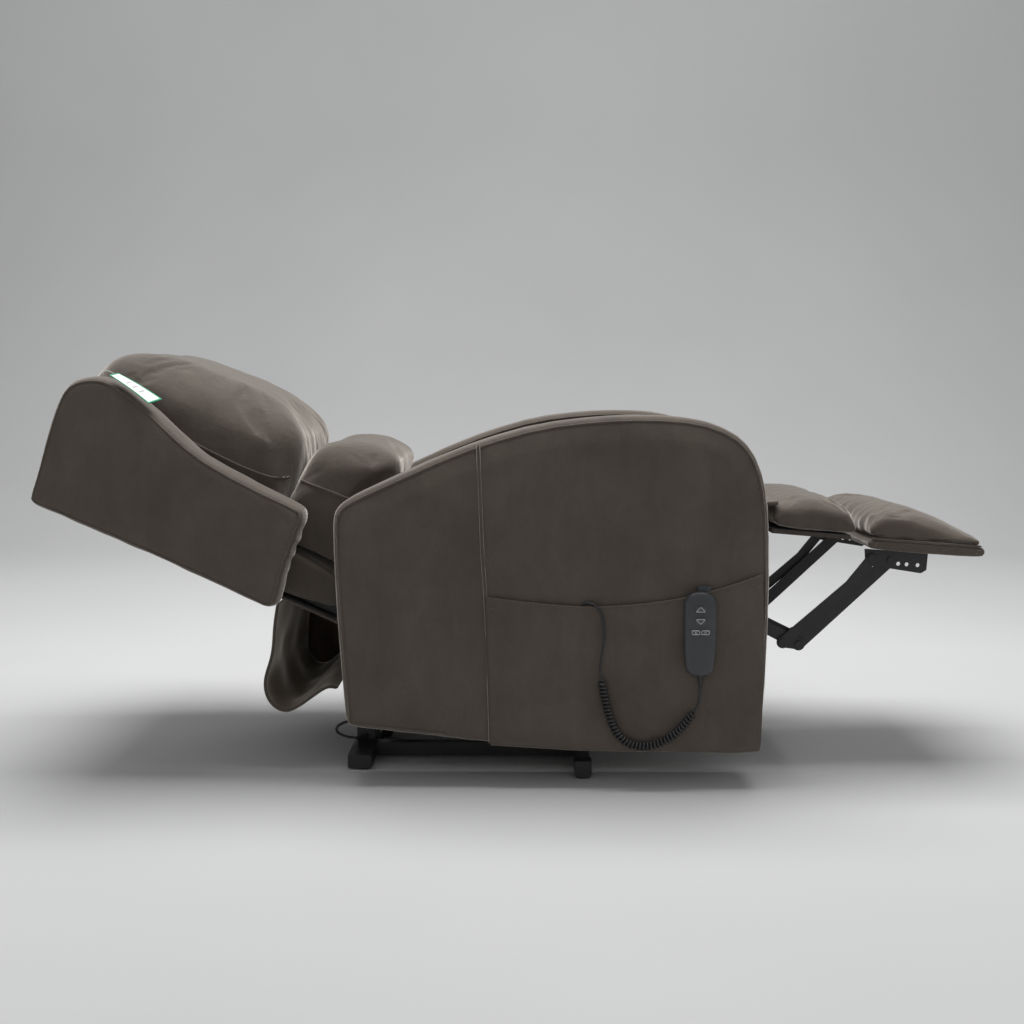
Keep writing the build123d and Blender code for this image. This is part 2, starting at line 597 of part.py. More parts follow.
def motor_tube(mount, front, y, end):
    """Outer tube of the actuator, from the gearbox to its open end."""
    tube = Location(((50 + end) / 2, 0, 0), (0, 90, 0)) * Cylinder(TUBE_RADIUS, end - 50)
    bore = Location(((54 + end + 1) / 2, 0, 0), (0, 90, 0)) * Cylinder(
        ROD_RADIUS + ROD_BORE_GAP, end + 1 - 54)
    return along_actuator(mount, front) * (tube - bore).moved(Location((0, y, 0)))


def actuator_rod(mount, front, y, start, drive):
    """Sliding rod with a slotted eye round the pin that it drives."""
    reach = math.dist(mount, front)
    room = ACTUATOR_PIN_RADIUS + OPEN_PIVOT_GAP
    wall = EYE_WALL
    x0 = reach + drive["along"][0] - room - wall
    x1 = reach + drive["along"][1] + room + wall
    z0 = drive["across"][0] - room - wall
    z1 = drive["across"][1] + room + wall
    eye = block(x0, x1, -EYE_HALF_THICKNESS, EYE_HALF_THICKNESS, min(z0, -ROD_RADIUS), max(z1, ROD_RADIUS))
    eye = fillet(eye.edges().filter_by(Axis.Y), 5.0)
    rod = Location(((start + x0 + 2) / 2, 0, 0), (0, 90, 0)) * Cylinder(ROD_RADIUS, x0 + 2 - start)
    slot = stretched_hole((reach, 0), 0, drive["along"], drive["across"], ACTUATOR_PIN_RADIUS,
                          -EYE_HALF_THICKNESS, EYE_HALF_THICKNESS)
    return along_actuator(mount, front) * (eye + rod - slot).moved(Location((0, y, 0)))


def closed_tube_end(mount, front, drive):
    """Where a tube has to stop so that the eye clears it with the rod drawn in."""
    shortest = math.dist(mount, front) + min(0.0, drive["stroke"])
    return shortest + drive["along"][0] - ACTUATOR_PIN_RADIUS - OPEN_PIVOT_GAP - EYE_WALL - 4.0


# ================================================================ chair body: steel
def side_plates():
    """Steel side plates that carry the recline pivot and the footrest's links."""
    top = SEAT_RAIL_Z[1] - 1
    outline = [(-232, 296), (-232, 352), (-214, top), (SHAFT_PIVOT[0] + 22, top),
               (SHAFT_PIVOT[0] + 30, top - 12),
               (SHAFT_PIVOT[0] + 26, SHAFT_PIVOT[1] - 18), (SHAFT_PIVOT[0] - 20, SHAFT_PIVOT[1] - 32),
               (200, 298), (110, 232), (FRONT_CHAIR_TUBE_X + 16, CHAIR_TUBE_BOTTOM_Z),
               (REAR_CHAIR_TUBE_X - 16, CHAIR_TUBE_BOTTOM_Z), (-214, 228)]
    plate = side_prism(outline, SIDE_PLATE_Y, SIDE_PLATE_Y + PLATE)
    plate = drilled(plate, [RECLINE_PIVOT, FOOT["rear_pivot"]], PIN_RADIUS + RUNNING_GAP, SIDE_PLATE_Y,
                    SIDE_PLATE_Y + PLATE)
    plate = drilled(plate, [SHAFT_PIVOT], SHAFT_RADIUS + RUNNING_GAP, SIDE_PLATE_Y, SIDE_PLATE_Y + PLATE)
    return pair(plate)


def chair_cross_tubes():
    """Square tubes between the side plates, with the lugs and pins that hold two motors."""
    half = CHAIR_TUBE / 2
    bottom = CHAIR_TUBE_BOTTOM_Z
    tubes = []
    for x in (REAR_CHAIR_TUBE_X, FRONT_CHAIR_TUBE_X):
        tubes.append(box_tube(x - half, x + half, -SIDE_PLATE_Y, SIDE_PLATE_Y, bottom, bottom + CHAIR_TUBE,
                              1))
    x = RECLINE_MOTOR_FRONT[0]
    tubes.append(box_tube(x - half, x + half, -SIDE_PLATE_Y, SIDE_PLATE_Y, MOTOR_TUBE_BOTTOM_Z,
                          MOTOR_TUBE_BOTTOM_Z + CHAIR_TUBE, 1))
    return group(*tubes, *motor_mounts())


def glide_blocks():
    """Plastic shoes under the cross tubes, one leg each side of the lift frame's rail."""
    shoes = []
    y0 = RAIL_INNER_Y
    y1 = RAIL_INNER_Y + RAIL_TUBE
    gap = 0.4
    for x in (REAR_CHAIR_TUBE_X, FRONT_CHAIR_TUBE_X):
        shoe = block(x - 22, x + 22, y0 - 6, y1 + 6, RAIL_TOP_Z - 10, CHAIR_TUBE_BOTTOM_Z)
        shoe -= block(x - 23, x + 23, y0 - gap, y1 + gap, RAIL_TOP_Z - 15, RAIL_TOP_Z + gap)
        shoes.append(shoe)
        shoes.append(mirrored(shoe))
    return group(*shoes)


def motor_mounts():
    """Lugs and pins on the chair that hold the recline motor and the footrest motor."""
    pieces = []
    x, z = RECLINE_MOTOR_FRONT
    for y0 in (RECLINE_MOTOR_Y - 19, RECLINE_MOTOR_Y + 14):
        lug = block(x - 11, x + 11, y0, y0 + 5, z, MOTOR_TUBE_BOTTOM_Z) + side_cylinder(
            (x, z), 11, y0, y0 + 5)
        pieces.append(drilled(lug, [(x, z)], ACTUATOR_PIN_RADIUS + RUNNING_GAP, y0, y0 + 5))
    pieces.append(side_cylinder((x, z), ACTUATOR_PIN_RADIUS, RECLINE_MOTOR_Y - 21, RECLINE_MOTOR_Y + 21))
    x, z = FOOT_MOTOR_REAR
    top = CHAIR_TUBE_BOTTOM_Z + CHAIR_TUBE
    for y0 in (FOOT_MOTOR_Y - 19, FOOT_MOTOR_Y + 14):
        lug = block(x - 11, x + 11, y0, y0 + 5, top, z) + side_cylinder((x, z), 11, y0, y0 + 5)
        pieces.append(drilled(lug, [(x, z)], ACTUATOR_PIN_RADIUS + RUNNING_GAP, y0, y0 + 5))
    pieces.append(side_cylinder((x, z), ACTUATOR_PIN_RADIUS, FOOT_MOTOR_Y - 21, FOOT_MOTOR_Y + 21))
    return pieces


def seat_frame():
    """Welded rectangle of tube that carries the seat springs."""
    y0, y1 = SEAT_RAIL_Y
    z0, z1 = SEAT_RAIL_Z
    x0 = SEAT_REAR_X + 6
    x1 = SEAT_FRONT_X - 14
    rail = box_tube(x0, x1, y0, y1, z0, z1, 0)
    ends = [block(x, x + 22, -y0, y0, z0, z1) for x in (x0, x1 - 22)]
    return group(rail, mirrored(rail), *ends)


def seat_springs():
    """Zig-zag springs between the seat frame's end rails."""
    x0 = SEAT_REAR_X + 31
    x1 = SEAT_FRONT_X - 39
    z = SEAT_RAIL_Z[1] - 6
    turns = 9
    pitch = (x1 - x0) / turns
    springs = []
    for y in (-140, -47, 47, 140):
        points = [(x0, y, z)]
        for i in range(turns):
            side = 22 if i % 2 else -22
            points.append((x0 + pitch * (i + 0.12), y + side, z))
            points.append((x0 + pitch * (i + 0.88), y + side, z))
        points.append((x1, y, z))
        path = FilletPolyline(*points, radius=5.5)
        section = Plane(origin=path @ 0, z_dir=path % 0) * Circle(1.9)
        springs.append(sweep(section, path=path))
    return group(*springs)


def seat_cushion():
    cushion = block(SEAT_REAR_X, SEAT_FRONT_X, -CUSHION_HALF_WIDTH, CUSHION_HALF_WIDTH,
                    SEAT_TOP_Z - SEAT_THICKNESS, SEAT_TOP_Z)
    return fillet(cushion.edges().filter_by(Axis.Y), 26.0)


# ================================================================ arms
def arm_outline():
    """Closed side outline of an arm: a swept-up top, a full front and a skirt that rises to the rear."""
    crest = Spline((-318, 0, 520), (-208, 0, 574), (-66, 0, 634), (60, 0, 668), (236, 0, 681), (340, 0, 672),
                   (404, 0, 640), (440, 0, 578), (454, 0, 494))
    front = Polyline((454, 0, 494), (457, 0, 352), (445, 0, 112))
    toe = ThreePointArc((445, 0, 112), (440, 0, 80), (424, 0, 65))
    skirt = Polyline((424, 0, 65), (147, 0, 68), (-48, 0, 81), (-208, 0, 100), (-300, 0, 111))
    heel = ThreePointArc((-300, 0, 111), (-311, 0, 116), (-315, 0, 127))
    rear = Polyline((-315, 0, 127), (-327, 0, 281), (-335, 0, 484))
    corner = ThreePointArc((-335, 0, 484), (-333, 0, 504), (-318, 0, 520))
    return make_face([crest, *front.edges(), toe, *skirt.edges(), heel, *rear.edges(), corner])


def arm_boards():
    """Flat board inside each arm, which stiffens its cover."""
    y0 = ARM_OUTER_Y - ARM_THICKNESS + 18
    face = offset(side_face(BOARD_OUTLINE), amount=-FREE_GAP, kind=Kind.INTERSECTION)
    board = Pos(0, y0 + 2, 0) * extrude(face, amount=20, dir=(0, 1, 0))
    board -= block(-400, 600, y0, y0 + 60, 40, 122)
    return pair(board)


def arm_cover(side):
    """Upholstered arm, open below where it slips over its board."""
    y0 = ARM_OUTER_Y - ARM_THICKNESS
    cover = Pos(0, y0, 0) * extrude(arm_outline(), amount=ARM_THICKNESS, dir=(0, 1, 0))
    cover -= side_prism(BOARD_OUTLINE, y0 + 18, y0 + 42)
    if side > 0:
        return cover
    cover = mirrored(cover)
    floor = POCKET_OUTER_Y - POCKET_CLOTH - POCKET_ROOM
    recess = side_prism(pocket_outline(FREE_GAP, 40.0), -ARM_OUTER_Y - 1, -floor)
    return cover - recess


def pocket_outline(margin, open_by):
    """Rim, ends and bottom of the side pocket, grown at its ends and opened above and below."""
    rim = [(x, z + open_by) for x, z in POCKET_RIM]
    rear = POCKET_REAR_X - margin
    front = POCKET_FRONT_X + margin
    bottom = POCKET_BOTTOM_Z - open_by
    return [(rear, rim[0][1]), *rim[1:-1], (front, rim[-1][1]), (front, bottom), (rear, bottom)]


def side_pocket():
    """Pouch on the right arm: a cloth front joined to the arm round its ends and bottom."""
    floor = POCKET_OUTER_Y - POCKET_CLOTH - POCKET_ROOM
    pouch = side_prism(pocket_outline(0.0, 0.0), -POCKET_OUTER_Y, -floor)
    top = max(z for x, z in POCKET_RIM) + 1
    hollow = block(POCKET_REAR_X + POCKET_WALL, POCKET_FRONT_X - POCKET_WALL, -POCKET_OUTER_Y + POCKET_CLOTH,
                   -floor + 1, POCKET_BOTTOM_Z + POCKET_WALL, top)
    return pouch - hollow


# ================================================================ handset and its lead


def button_block(name, grow, y0, y1):
    dx, up, width, height = BUTTONS[name]
    x = HANDSET_CENTRE_X + dx
    z = HANDSET_BOTTOM_Z + up
    solid = block(x - width / 2 - grow, x + width / 2 + grow, y0, y1, z - height / 2 - grow,
                  z + height / 2 + grow)
    return fillet(solid.edges().filter_by(Axis.Y), 3.5)


def handset_body():
    """Slim moulded handset, a little narrower at the cord end, with a pocket for each button."""
    x = HANDSET_CENTRE_X
    half = HANDSET_WIDTH / 2
    z0 = HANDSET_BOTTOM_Z
    z1 = z0 + HANDSET_LENGTH
    outline = [(x - half + 8, z0), (x + half - 8, z0), (x + half - 2, z0 + 30), (x + half, z1 - 50),
               (x + half, z1), (x - half, z1), (x - half, z1 - 50), (x - half + 2, z0 + 30)]
    body = side_prism(outline, HANDSET_FACE_Y, HANDSET_BACK_Y)
    body = fillet(body.edges().filter_by(Axis.Y), 9.0)
    body = fillet(body.faces().sort_by(Axis.Y)[0].edges(), 4.0)
    for name in BUTTONS:
        body -= button_block(name, BUTTON_FIT, HANDSET_FACE_Y - 1, HANDSET_FACE_Y + BUTTON_POCKET_DEPTH)
    return body


def button(name):
    """A button that stands proud of the handset's face and can sink by its travel."""
    back = HANDSET_FACE_Y + BUTTON_POCKET_DEPTH - BUTTON_TRAVEL - 0.4
    return button_block(name, 0.0, HANDSET_FACE_Y - BUTTON_PROUD, back)


def handset_clip():
    """Strap behind the handset that hooks over the pocket's rim."""
    y0 = HANDSET_BACK_Y
    x = HANDSET_CENTRE_X + 8
    rim = 363.0
    width = 24
    top = rim + 9
    outer = block(x - width / 2, x + width / 2, y0, y0 + 0.8, HANDSET_BOTTOM_Z + 60, top)
    inner_y = -(POCKET_OUTER_Y - POCKET_CLOTH) + 1.0
    bridge = block(x - width / 2, x + width / 2, y0, inner_y + 2, top, top + 2)
    tongue = block(x - width / 2, x + width / 2, inner_y, inner_y + 2, rim - 40, top)
    return outer + bridge + tongue


def strain_relief():
    """Tapered boot where the lead leaves the handset."""
    cone = Cone(3.4, 5.6, 21)
    return Pos(HANDSET_CENTRE_X + 2, CORD_Y, HANDSET_BOTTOM_Z - 10.5) * cone


def tube_path(points):
    """Straight runs joined by arcs as large as the runs allow, and the arcs' radii."""
    radii = []
    for before, here, after in zip(points, points[1:], points[2:]):
        first = Vector(*here) - Vector(*before)
        second = Vector(*after) - Vector(*here)
        half = math.radians(first.get_angle(second)) / 2
        radii.append(0.45 * min(first.length, second.length) / math.tan(half))
    return FilletPolyline(*points, radius=radii), radii


def cord_tube(name, points, radius):
    path, radii = tube_path(points)
    section = Plane(origin=path @ 0, z_dir=path % 0) * Circle(radius)
    tube = sweep(section, path=path)
    share = tube.volume / (math.pi * radius**2 * path.length)
    shown = ", ".join(f"{value:.0f}" for value in radii)
    print(f"{name}: length {path.length:.1f}, arc radii {shown}, volume over section x length {share:.4f}")
    return tube


# ================================================================ back
def back_prism(outline, y0, y1):
    return side_prism([back_point(s, n) for s, n in outline], y0, y1)


def rear_panel():
    """Fabric-covered board that closes the back's rear face."""
    n0 = BACK_REAR_N
    outline = [(112, n0), (BACK_LENGTH, n0), (BACK_LENGTH, n0 + REAR_PANEL), (112, n0 + REAR_PANEL)]
    return back_prism(outline, -CUSHION_HALF_WIDTH, CUSHION_HALF_WIDTH)


def back_frame():
    """Welded tube frame with the straps that hinge it and the studs that carry the wings."""
    n0, n1 = FRAME_N
    y1 = FRAME_OUTER_Y
    y0 = y1 - FRAME_TUBE
    upright = back_prism([(60, n0), (BACK_LENGTH - 30, n0), (BACK_LENGTH - 30, n1), (60, n1)], y0, y1)
    rungs = [back_prism([(s, n0 + 2), (s + FRAME_TUBE, n0 + 2), (s + FRAME_TUBE, n1 - 2), (s, n1 - 2)],
                        -y0, y0)
             for s in (120, 390, BACK_LENGTH - 55)]
    studs = [side_cylinder(back_point(s, -40), 6, CUSHION_HALF_WIDTH, WING_INNER_Y) for s in (300, 620)]
    return group(*rungs, both_sides(upright, hinge_strap(), *studs))


def hinge_strap():
    """Flat strap from the recline pivot to the back frame, on the left."""
    n = sum(FRAME_N) / 2
    y0 = FRAME_OUTER_Y + 0.2
    knee = back_point(70, n)
    end = back_point(HINGE_STRAP_END, n)
    strap = link_bar(RECLINE_PIVOT, knee, 26, y0, y0 + PLATE) + link_bar(knee, end, 22, y0, y0 + PLATE)
    return drilled(strap, [RECLINE_PIVOT], PIN_RADIUS + RUNNING_GAP, y0, y0 + PLATE)


def recline_lever():
    """Cross shaft on the recline pivot with the two lugs and pin that the recline rod pushes."""
    y0 = FRAME_OUTER_Y
    shaft = side_cylinder(RECLINE_PIVOT, 9.0, -y0, y0)
    pieces = [shaft]
    for start in (RECLINE_MOTOR_Y - 12, RECLINE_MOTOR_Y + 7):
        lug = link_bar(RECLINE_PIVOT, LEVER_PIN, 22, start, start + 5)
        lug -= side_cylinder(RECLINE_PIVOT, 9.0, start - 1, start + 6)
        pieces.append(drilled(lug, [LEVER_PIN], ACTUATOR_PIN_RADIUS + RUNNING_GAP, start, start + 5))
    pieces.append(side_cylinder(LEVER_PIN, ACTUATOR_PIN_RADIUS, RECLINE_MOTOR_Y - 14, RECLINE_MOTOR_Y + 14))
    return group(*pieces)


def back_core():
    """Upholstered body of the back, hollow behind where the frame lies."""
    n0 = BACK_REAR_N + REAR_PANEL
    top = BACK_LENGTH - 4
    half = CUSHION_HALF_WIDTH
    core = back_prism([(112, n0), (top, n0), (top, -8), (112, -8)], -half, half)
    room = FRAME_OUTER_Y + PLATE + 3
    return core - back_prism([(100, n0 - 1), (top - 20, n0 - 1), (top - 20, FRAME_N[1] + 3),
                              (100, FRAME_N[1] + 3)], -room, room)


def lumbar_cushion():
    """Lower back cushion, cut away below so that it clears the seat when the back is raised."""
    outline = [(116, -5), (116, 45), (170, 92), (128, 222), (140, 230), (185, 231), (230, 220), (275, 205),
               (297, 188),
               (303, 150), (303, -5)]
    return back_prism(outline, -CUSHION_HALF_WIDTH, CUSHION_HALF_WIDTH)


def head_cushion():
    outline = [(310, -5), (310, 165), (322, 190), (350, 211), (393, 219), (471, 222), (560, 217), (640, 213),
               (690, 205), (728, 180), (742, 140), (742, 60), (728, 10), (712, -5)]
    half = WING_INNER_Y - 6
    return back_prism(outline, -half, half)


def wing(side):
    """Side wing of the back, from beside the head down behind the arm."""
    edge = [(-391, 505), (-474, 548), (-532, 579), (-583, 612), (-631, 655), (-669, 693), (-706, 725),
            (-743, 745),
            (-777, 748), (-807, 739), (-832, 706), (-857, 640), (-880, 560), (-888, 530), (-882, 514),
            (-860, 511)]
    tail = [(-860, 511), (-700, 440), (-560, 376), (-466, 332), (-452, 327), (-440, 338)]
    end = [(-440, 338), (-420, 410), (-398, 470), (-391, 505)]
    outer = Spline([(x, 0, z) for x, z in edge])
    rest = Polyline([(x, 0, z) for x, z in tail + end[1:]])
    solid = extrude(make_face([outer, *rest.edges()]), amount=WING_OUTER_Y - WING_INNER_Y, dir=(0, 1, 0))
    solid = Pos(0, WING_INNER_Y, 0) * solid
    return solid if side > 0 else mirrored(solid)


def rear_flap():
    """Loose cloth that hangs from the back's lower edge and returns to the chair's rear."""
    centre = Spline([(x, 0, z) for x, z in FLAP])
    steps = 36
    inner = []
    outer = []
    for i in range(steps + 1):
        point = centre @ (i / steps)
        direction = centre % (i / steps)
        square = Vector(-direction.Z, 0, direction.X) * (FLAP_CLOTH / 2)
        inner.append(point + square)
        outer.append(point - square)
    first = Spline(inner)
    second = Spline(outer)
    ends = [Line(inner[0], outer[0]), Line(inner[-1], outer[-1])]
    half = CUSHION_HALF_WIDTH - 2
    return Pos(0, -half, 0) * extrude(make_face([first, second, *ends]), amount=2 * half, dir=(0, 1, 0))


def hang_tag():
    """Plain card that hangs by the right wing's head end."""
    card = Box(96.0, 44.0, 1.0)
    return Location((-700.0, -300.0, 748.0), (8, 33, 0)) * card


# ================================================================ footrest


def footrest_at(share):
    """Where the linkage's moving pivots are at a share of the way to folded."""
    lower = FOOT["lower"] * share
    knee = turned(KNEE, SHAFT_PIVOT, lower)
    rear_knee = turned(FOOT["rear_knee"], SHAFT_PIVOT, lower)
    tail = add_turned(TAIL, KNEE, knee, FOOT["upper"] * share)
    front = add_turned(BOARD_FRONT_PIVOT, KNEE, knee, FOOT["upper"] * share)
    rear = add_turned(BOARD_REAR_PIVOT, BOARD_FRONT_PIVOT, front, FOOTREST_TURN * share)
    return {"knee": knee, "rear_knee": rear_knee, "tail": tail, "front": front, "rear": rear}


def link_stray(pin_name, pivot_name, pivot, turn):
    """How a pin strays from the free end of a link that turns in fixed proportion."""
    rest = footrest_at(0.0)[pin_name]
    stray = []
    for i in range(25):
        share = i / 24
        places = footrest_at(share)
        centre = places[pivot_name] if pivot_name else pivot
        seen = turned(places[pin_name], centre, -turn * share)
        stray.append((seen[0] + pivot[0] - centre[0] - rest[0], seen[1] + pivot[1] - centre[1] - rest[1]))
    return stray


def stray_middle(stray, axis):
    values = [point[axis] for point in stray]
    return (min(values) + max(values)) / 2


def lower_front_links():
    """Links from the side plates to the knees, with the knee and rear knee rivets."""
    bar = link_bar(SHAFT_PIVOT, KNEE, LINK_WIDTH + 4, *A_Y)
    bar += link_bar(KNEE, FOOT["rear_knee"], LINK_WIDTH, *A_Y)
    bar = drilled(bar, [KNEE, FOOT["rear_knee"]], PIN_RADIUS + RUNNING_GAP, *A_Y)
    bar = drilled(bar, [SHAFT_PIVOT], SHAFT_RADIUS + RUNNING_GAP, *A_Y)
    knee = rivet(KNEE, F_Y[0], A_Y[1], False, True, head=HEAD_RADIUS - 1)
    rear = rivet(FOOT["rear_knee"], A_Y[0], R_Y[1], False, True)
    return both_sides(bar, knee, rear)


def upper_front_links():
    """Links from the knees to the foot board, with the tail and board rivets."""
    bar = link_bar(KNEE, BOARD_FRONT_PIVOT, LINK_WIDTH + 4, *F_Y) + link_bar(KNEE, TAIL, LINK_WIDTH, *F_Y)
    bar = drilled(bar, [KNEE, TAIL, BOARD_FRONT_PIVOT], PIN_RADIUS + RUNNING_GAP, *F_Y)
    tail = rivet(TAIL, B_Y[0], F_Y[1], True, False)
    front = rivet(BOARD_FRONT_PIVOT, F_Y[0], A_Y[1], True, True, head=HEAD_RADIUS - 1)
    return both_sides(bar, tail, front)


def upper_rear_links():
    """Outer link, cranked near the board, with the opened pivot's slot at its knee."""
    knee = FOOT["rear_knee"]
    crank = between(knee, BOARD_REAR_PIVOT, 0.72)
    elbow = (crank[0] + 6, crank[1] - 6)
    bar = link_bar(knee, elbow, LINK_WIDTH, *R_Y) + link_bar(elbow, BOARD_REAR_PIVOT, LINK_WIDTH, *R_Y)
    bar += side_cylinder(knee, LINK_WIDTH / 2 + 1, *R_Y)
    bar = drilled(bar, [BOARD_REAR_PIVOT], PIN_RADIUS + RUNNING_GAP, *R_Y)
    stray = link_stray("rear_knee", "rear", BOARD_REAR_PIVOT, FOOT["rear"])
    return pair(bar - stray_slot(knee, stray, PIN_RADIUS, *R_Y))


def lower_rear_links():
    """Inner link to the upper link's tail, bent round the shaft, with an opened pivot's slot there."""
    pivot = FOOT["rear_pivot"]
    bends = [at_bearing(pivot, bearing(pivot, SHAFT_PIVOT) + turn, reach) for turn, reach in LINK_BENDS]
    line = [pivot, *bends, TAIL]
    stray = link_stray("tail", None, pivot, FOOT["link"])
    boss = (TAIL[0] + stray_middle(stray, 0), TAIL[1] + stray_middle(stray, 1))
    bar = side_cylinder(pivot, LINK_WIDTH / 2 - 2, *B_Y) + side_cylinder(boss, LINK_WIDTH / 2 + 3, *B_Y)
    for start, end in zip(line, line[1:]):
        bar += link_bar(start, end, LINK_WIDTH / 2, *B_Y)
    bar = drilled(bar, [pivot], PIN_RADIUS + RUNNING_GAP, *B_Y)
    return pair(bar - stray_slot(TAIL, stray, PIN_RADIUS, *B_Y))


def drive_shaft():
    """Shaft through both side plates that turns the lower front links, with its crank and pin."""
    end = A_Y[1]
    shaft = side_cylinder(SHAFT_PIVOT, SHAFT_RADIUS, -end, end)
    pieces = [shaft]
    for start in (FOOT_MOTOR_Y - 12, FOOT_MOTOR_Y + 7):
        lug = link_bar(SHAFT_PIVOT, CRANK_PIN, 20, start, start + 5)
        lug -= side_cylinder(SHAFT_PIVOT, SHAFT_RADIUS, start - 1, start + 6)
        pieces.append(drilled(lug, [CRANK_PIN], ACTUATOR_PIN_RADIUS + RUNNING_GAP, start, start + 5))
    pieces.append(side_cylinder(CRANK_PIN, ACTUATOR_PIN_RADIUS, FOOT_MOTOR_Y - 14, FOOT_MOTOR_Y + 14))
    return group(*pieces)


def chair_fasteners():
    """Rivets and bolts on the side plates: recline pivots, lower rear link pivots and seat frame bolts."""
    recline = rivet(RECLINE_PIVOT, FRAME_OUTER_Y + 0.2, SIDE_PLATE_Y + PLATE, False, True)
    rear = rivet(FOOT["rear_pivot"], B_Y[0], F_Y[1], True, False)
    z = (SEAT_RAIL_Z[0] + SEAT_RAIL_Z[1]) / 2
    bolts = [side_cylinder((x, z), 3.0, SEAT_RAIL_Y[1], SIDE_PLATE_Y) for x in (-120, 60, 240)]
    return both_sides(recline, rear, *bolts)


def board_point(along, up):
    """A side-view point on the foot board: along its upper face from its rear end, and above it."""
    angle = math.radians(BOARD_TILT)
    x = BOARD_REAR[0] + along * math.cos(angle) + up * math.sin(angle)
    z = BOARD_REAR[1] - along * math.sin(angle) + up * math.cos(angle)
    return (x, z)


def footrest_brackets():
    """Steel angles under the foot board, with their rear rivets and a row of adjustment holes."""
    under = -BOARD_THICKNESS
    web = [board_point(-2, under), board_point(118, under), board_point(118, under - 32),
           board_point(108, under - 39), board_point(2, under - 30)]
    plate = side_prism(web, *A_Y)
    plate = drilled(plate, [BOARD_FRONT_PIVOT, BOARD_REAR_PIVOT], PIN_RADIUS + RUNNING_GAP, *A_Y)
    plate = drilled(plate, [board_point(x, under - 24) for x in (64, 80, 101)], 4.0, *A_Y)
    flange = [board_point(60, under), board_point(118, under), board_point(118, under - 3),
              board_point(60, under - 3)]
    rear = rivet(BOARD_REAR_PIVOT, A_Y[0], R_Y[1], False, True)
    return both_sides(plate + side_prism(flange, A_Y[0] - 30, A_Y[0]), rear)


def foot_board():
    outline = [board_point(0, 0), board_point(BOARD_LENGTH, 0), board_point(BOARD_LENGTH, -BOARD_THICKNESS),
               board_point(0, -BOARD_THICKNESS)]
    board = side_prism(outline, -CUSHION_HALF_WIDTH, CUSHION_HALF_WIDTH)
    return fillet(board.edges().filter_by(Axis.Y), 9.0)


def foot_pad():
    outline = [board_point(5, FREE_GAP), board_point(-1, 20), board_point(8, 46), board_point(36, 58),
               board_point(80, 55),
               board_point(140, 40), board_point(190, 18), board_point(BOARD_LENGTH - 4, FREE_GAP)]
    return side_prism(outline, -CUSHION_HALF_WIDTH, CUSHION_HALF_WIDTH)


def calf_board():
    """Stiff board under the calf pad, slotted for the straps that hinge it to the chair's front."""
    outline = [(482, 455), (632, 442.7), (632, 450.7), (482, 463)]
    board = side_prism(outline, -CUSHION_HALF_WIDTH + 12, CUSHION_HALF_WIDTH - 12)
    slot = block(480, CALF_STRAP[1][0] + 6, CALF_STRAP_Y[0] - FREE_GAP, CALF_STRAP_Y[1] + FREE_GAP, 430, 470)
    return board - slot - mirrored(slot)


def calf_pad():
    outline = [(484, 469), (479, 500), (492, 514), (540, 519), (600, 514), (628, 502), (637, 484), (638, 455)]
    return side_prism(outline, -CUSHION_HALF_WIDTH, CUSHION_HALF_WIDTH)


def calf_hinges():
    """Straps from the seat's front to the calf board."""
    strap = link_bar(CALF_HINGE, CALF_STRAP[0], 8, *CALF_STRAP_Y) + link_bar(*CALF_STRAP, 8, *CALF_STRAP_Y)
    knuckle = side_cylinder(CALF_HINGE, 7, CALF_STRAP_Y[0] - 2, CALF_STRAP_Y[1] + 2)
    return pair(strap + knuckle - side_cylinder(CALF_HINGE, 3 + RUNNING_GAP, 200, 213))


def calf_hinge_pins():
    """Pins and lugs on the seat frame that the calf straps turn on."""
    pieces = []
    x, z = CALF_HINGE
    frame_front = SEAT_FRONT_X - 14
    stem_x = SEAT_FRONT_X + 1.2
    for y0 in (198.0, 210.6):
        outline = [(frame_front, SEAT_RAIL_Z[0]), (stem_x + 4.5, SEAT_RAIL_Z[0]), (stem_x + 4.5, z - 26),
                   (x + 2, z - 6),
                   (x - 4, z + 6), (stem_x, z - 14), (stem_x, SEAT_RAIL_Z[1]), (frame_front, SEAT_RAIL_Z[1])]
        arm = side_prism(outline, y0, y0 + 4) + side_cylinder(CALF_HINGE, 6, y0, y0 + 4)
        pieces.append(drilled(arm, [CALF_HINGE], 3 + RUNNING_GAP, y0, y0 + 4))
    pieces.append(side_cylinder(CALF_HINGE, 3, 196.0, 217.0))
    return both_sides(*pieces)


